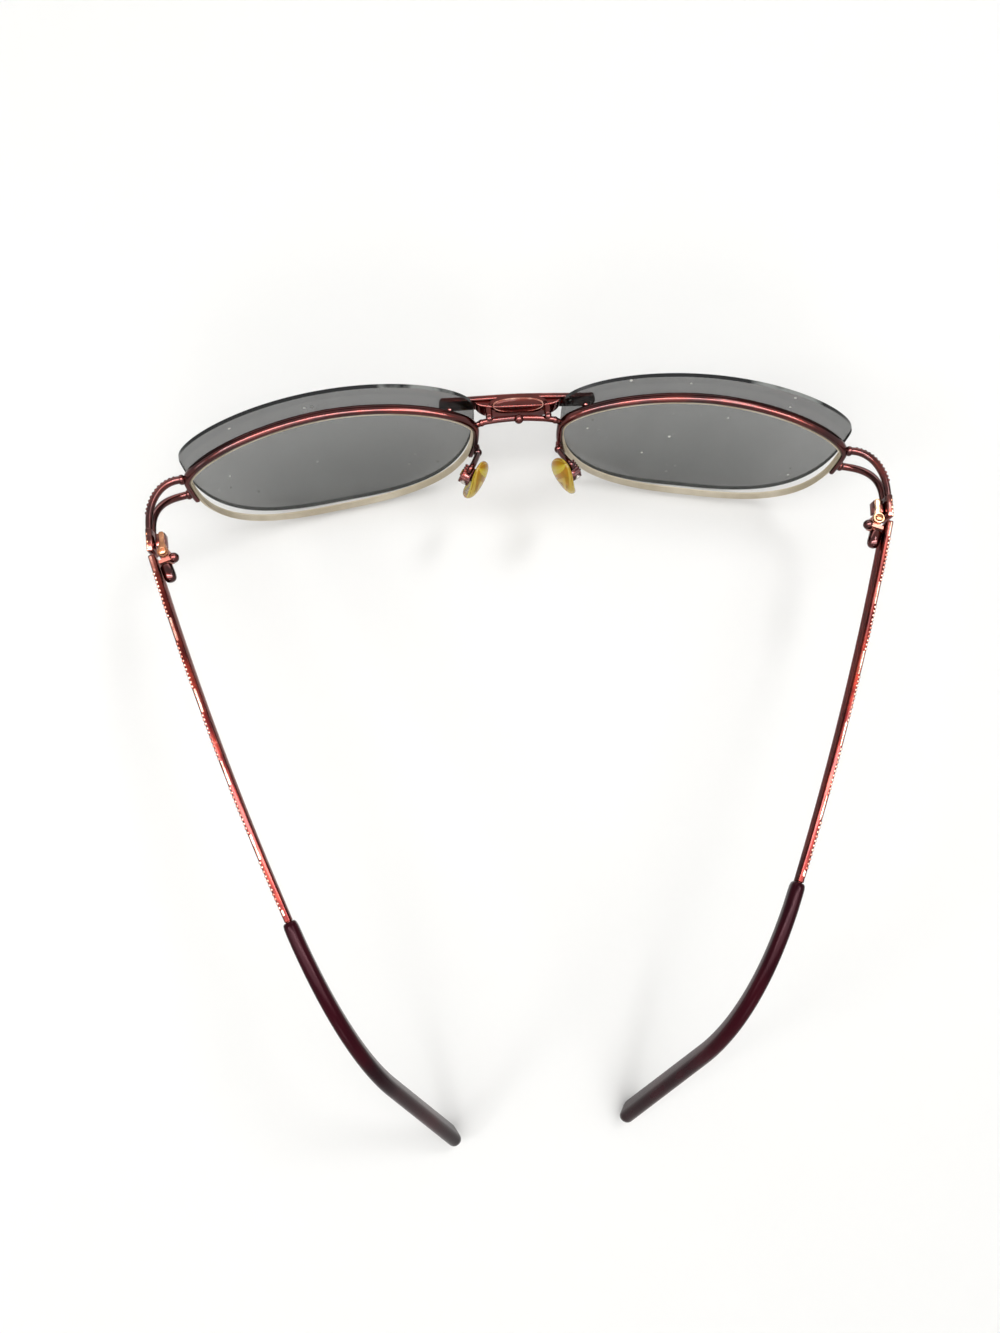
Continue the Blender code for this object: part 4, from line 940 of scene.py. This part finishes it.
clipPath = Path(clipLine())
ends, rings = [0.03, 0.12, 0.3, 0.55], []
spots = ends + evenly(clip["round"], clipPath.length - clip["round"], 121)
for spot in spots + [clipPath.length - spot for spot in reversed(ends)]:
    place, along = clipPath.at(spot)
    forward = along.cross(liftUp).normalized()
    place = place - liftUp * clip["lower"]
    fromEnd = min(spot, clipPath.length - spot) / clip["round"]
    full = sqrt(max(1 - (1 - min(fromEnd, 1.0)) ** 2, 0.01))
    outline = softBox(clip["thickness"] * (0.5 + 0.5 * full), clip["height"] * full, 0.3 * full)
    rings.append([place + forward * a + liftUp * b for a, b in outline])
makePiece("", "clipBar", Shape().skin(rings), worn, [wine], "clip_on", "clip_bar")

barMiddle = clipPath.at(clipPath.length / 2)[0]
plaque = {"tilt": 22.6, "face": (4.6, 1.42), "at": (1.5, 0.42), "ridge": 0.16, "sunk": -0.12}


def ovalRing(wide, tall, back, up, tilt):  # an oval in front of the clip bar's middle, its top leaning away
    slope, ring = radians(tilt), []
    for cosine, sine in around(72):
        a, b = wide * superPower(cosine, 0.85), tall * superPower(sine, 0.9)
        ring.append(barMiddle + Vector((a, 0, 0)) + liftBack * (back - b * sin(slope))
                    + liftUp * (up + b * cos(slope)))
    return ring


def faceRing(less, depth):  # an oval inside the plaque's face
    (wide, tall), (back, up), tilt = plaque["face"], plaque["at"], plaque["tilt"]
    slope = radians(tilt)
    return ovalRing(wide - less, tall - less, back + depth * cos(slope), up + depth * sin(slope), tilt)


ridge, sunk = plaque["ridge"], plaque["sunk"]
skirt = [ovalRing(5.0, 1.2, 0.3, 0.0, 0.0), ovalRing(5.3, 1.85, 1.15, 0.12, 28.0),
         ovalRing(5.1, 1.7, 1.42, 0.2, 26.0), faceRing(0.0, 0.0)]
border = [faceRing(0.06, ridge), faceRing(0.22, ridge), faceRing(0.30, sunk)]
# the plaque's raised border is pale pink, partly a painted highlight on its rim
makePiece("", "clipPlaque", Shape().skin(skirt + border, materials=[0, 0, 0, 1, 1, 0]), worn, [wine, pinkEdge],
          "clip_on", "clip_plaque", sharp=50)

web = {"half": 7.8, "drop": 3.0, "deep": 1.75, "lid": 0.3, "edge": 0.9, "soft": 0.28}
edge, lid, rings = web["edge"], web["lid"], []
for turn in evenly(-pi / 2, pi / 2, 49):  # the web under the bar, deepest in the middle
    share = sqrt(max(1 - abs(sin(turn)) ** 4, 0.004))
    low, back = -edge - (web["drop"] - edge) * share, lid + (web["deep"] - lid) * share
    rings.append([(web["half"] * sin(turn), (back - lid) / 2 + a, (low + lid) / 2 + b)
                  for a, b in softBox(back + lid, lid - low, web["soft"])])
makePiece("", "clipWeb", Shape().skin(rings), moved(barMiddle) @ lensTilt, [wine], "clip_on", slot="clip_bar")
magnet = [faceRing(less, sunk + out) for less, out in ((0.34, -0.04), (0.34, 0.04), (0.50, 0.09), (0.90, 0.12))]
makePiece("", "clipMagnet", Shape().skin(magnet), worn, [wine], "clip_on", "clip_magnet", sharp=60)

bar = min(clipPath.points, key=lambda point: abs(point.x - clip["hookAt"]))
start = Vector((clip["hookAt"], bar.y, bar.z)) + liftBack * (clip["thickness"] / 2 - 0.1)
curl = [start, start + liftBack * clip["hook"]]
for degrees in evenly(*clip["hookAngles"], 30):  # the claws curl over the bridge
    turn = radians(degrees)
    curl.append(bridgeAt(clip["hookAt"]) + Vector((0, cos(turn), sin(turn)))
                * (bridge["radius"] + 0.2 + clip["hook"]))
hook = tubeRings(curl, clip["hookWide"], 18, 46, roundEnd=True, flatten=clip["hook"] / clip["hookWide"])

rivetU, raised = lugU - clip["rivetIn"], clip["lugRaise"]
face = sag(rivetU, raised) + tintedLens["thickness"] / 2
front = sag(rivetU, raised) + lugDepth - clip["thickness"] / 2 - 0.05
radius, tall = clip["rivet"]
rivet = [(0.001, front - tall), (radius * 0.55, front - tall * 0.92), (radius * 0.9, front - tall * 0.45),
         (radius, front), (0.45, front + 0.02), (0.45, face), (radius * 0.8, face + 0.02),
         (radius * 0.7, face + 0.2), (0.001, face + 0.3)]
rivetPlace = moved((rivetU, 0, raised)) @ turned(-90, "X")
for hand in sides:
    makePiece(hand, "ClipHook", Shape().skin(hook), worn, [wine], "clip_on", "clip_hook", sharp=60)
    makePiece(hand, "ClipRivet", Shape().spun(rivet, rivetPlace), clipFrame, [wine], "clip_on", "clip_rivet")
print("clip-on made")

shown = {"pad_screw": steel, "hinge_carriage": dullRose, "carriage_nut": steel, "hinge_spring": steel,
         "rim_liner": nylon}
for hand in sides:
    for part, finish in shown.items():
        materials = frame["nodes"][hand + "_" + part].data.materials
        materials.clear()
        materials.append(finish)

light = {"fill": 0.5, "aim": (0, 0, 0.01), "glossOnly": ("gloss", "spark", "window")}
world = bpy.data.worlds.new("studio")
scene.world = world
world.use_nodes = True
world.node_tree.nodes.clear()
maker = Maker(world.node_tree)
path = maker.node("ShaderNodeLightPath").socket.node
rays = [Signal(maker, path.outputs["Is %s Ray" % kind]) for kind in ("Camera", "Glossy", "Transmission")]
soft = maker.node("ShaderNodeBackground", {"Color": (1.0, 0.99, 0.97, 1), "Strength": light["fill"]})
white = maker.node("ShaderNodeBackground", {"Color": (1, 1, 1, 1), "Strength": 1.0})
both = maker.node("ShaderNodeMixShader", {0: reduce(Signal.most, rays), 1: soft, 2: white})
maker.node("ShaderNodeOutputWorld", {"Surface": both})

lamps = {"key": ((-0.35, -0.45, 0.75), (0.20, 0.20), 1.7), "side": ((0.60, 0.10, 0.50), (0.16, 0.16), 0.8),
         "back": ((0.05, 0.70, 0.60), (0.25, 0.25), 0.9), "sky": ((0.0, 0.02, 0.80), (1.2, 0.4), 2.6),
         "gloss": ((0.0, 0.05, 0.82), (1.3, 0.36), 9.0), "spark": ((0.0, -0.20, 0.80), (1.3, 0.09), 15.0),
         "window": ((0.10, -1.10, 0.26), (1.4, 0.3), 5.0)}
for name, (place, size, power) in lamps.items():
    data = bpy.data.lights.new(name, "AREA")
    data.shape, data.energy = "RECTANGLE", power
    data.size, data.size_y = size
    lamp = addObject(name, data)
    lamp.location = place
    lamp.rotation_euler = (Vector(light["aim"]) - Vector(place)).to_track_quat("-Z", "Y").to_euler()
    lamp.visible_camera = False
    lamp.visible_diffuse = name not in light["glossOnly"]


def floorLook(maker):
    return maker.look(maker.blend(maker.noise(40.0, 4.0) * 0.25, (0.86, 0.86, 0.85), (0.80, 0.80, 0.785)), 0.7)


mesh = bpy.data.meshes.new("floor")
mesh.from_pydata([(-3, -3, 0), (3, -3, 0), (3, 3, 0), (-3, 3, 0)], [], [(0, 1, 2, 3)])
mesh.materials.append(newFinish("paleFloor", floorLook))
addObject("floor", mesh)

photoView = {"focal": 1005.65, "turns": (76.4705, 13.5738, 10.1210), "target": (6.0475, 41.0192, 0.0),
             "distance": 175.1531, "longSide": 1333, "sensor": 36.0}
elevation, yaw, roll = (radians(degrees) for degrees in photoView["turns"])
back = Vector((sin(yaw) * cos(elevation), cos(yaw) * cos(elevation), sin(elevation)))
right = (-back).cross(Vector((0, 0, 1))).normalized()
up = right.cross(-back)
rightTurned = right * cos(roll) + up * sin(roll)
upTurned = up * cos(roll) - right * sin(roll)
turn = lean.to_3x3() @ Matrix((rightTurned, upTurned, back)).transposed()
data = bpy.data.cameras.new("photoCamera")
data.sensor_width = photoView["sensor"]
data.lens = photoView["sensor"] * photoView["focal"] / photoView["longSide"]
data.clip_start, data.clip_end = 0.005, 20.0
camera = addObject("photoCamera", data)
camera.matrix_world = turn.to_4x4()
camera.location = tableSpot(Vector(photoView["target"]) + back * photoView["distance"])
scene.camera = camera
scene.view_settings.view_transform = "Standard"
print("lights, floor and camera made")
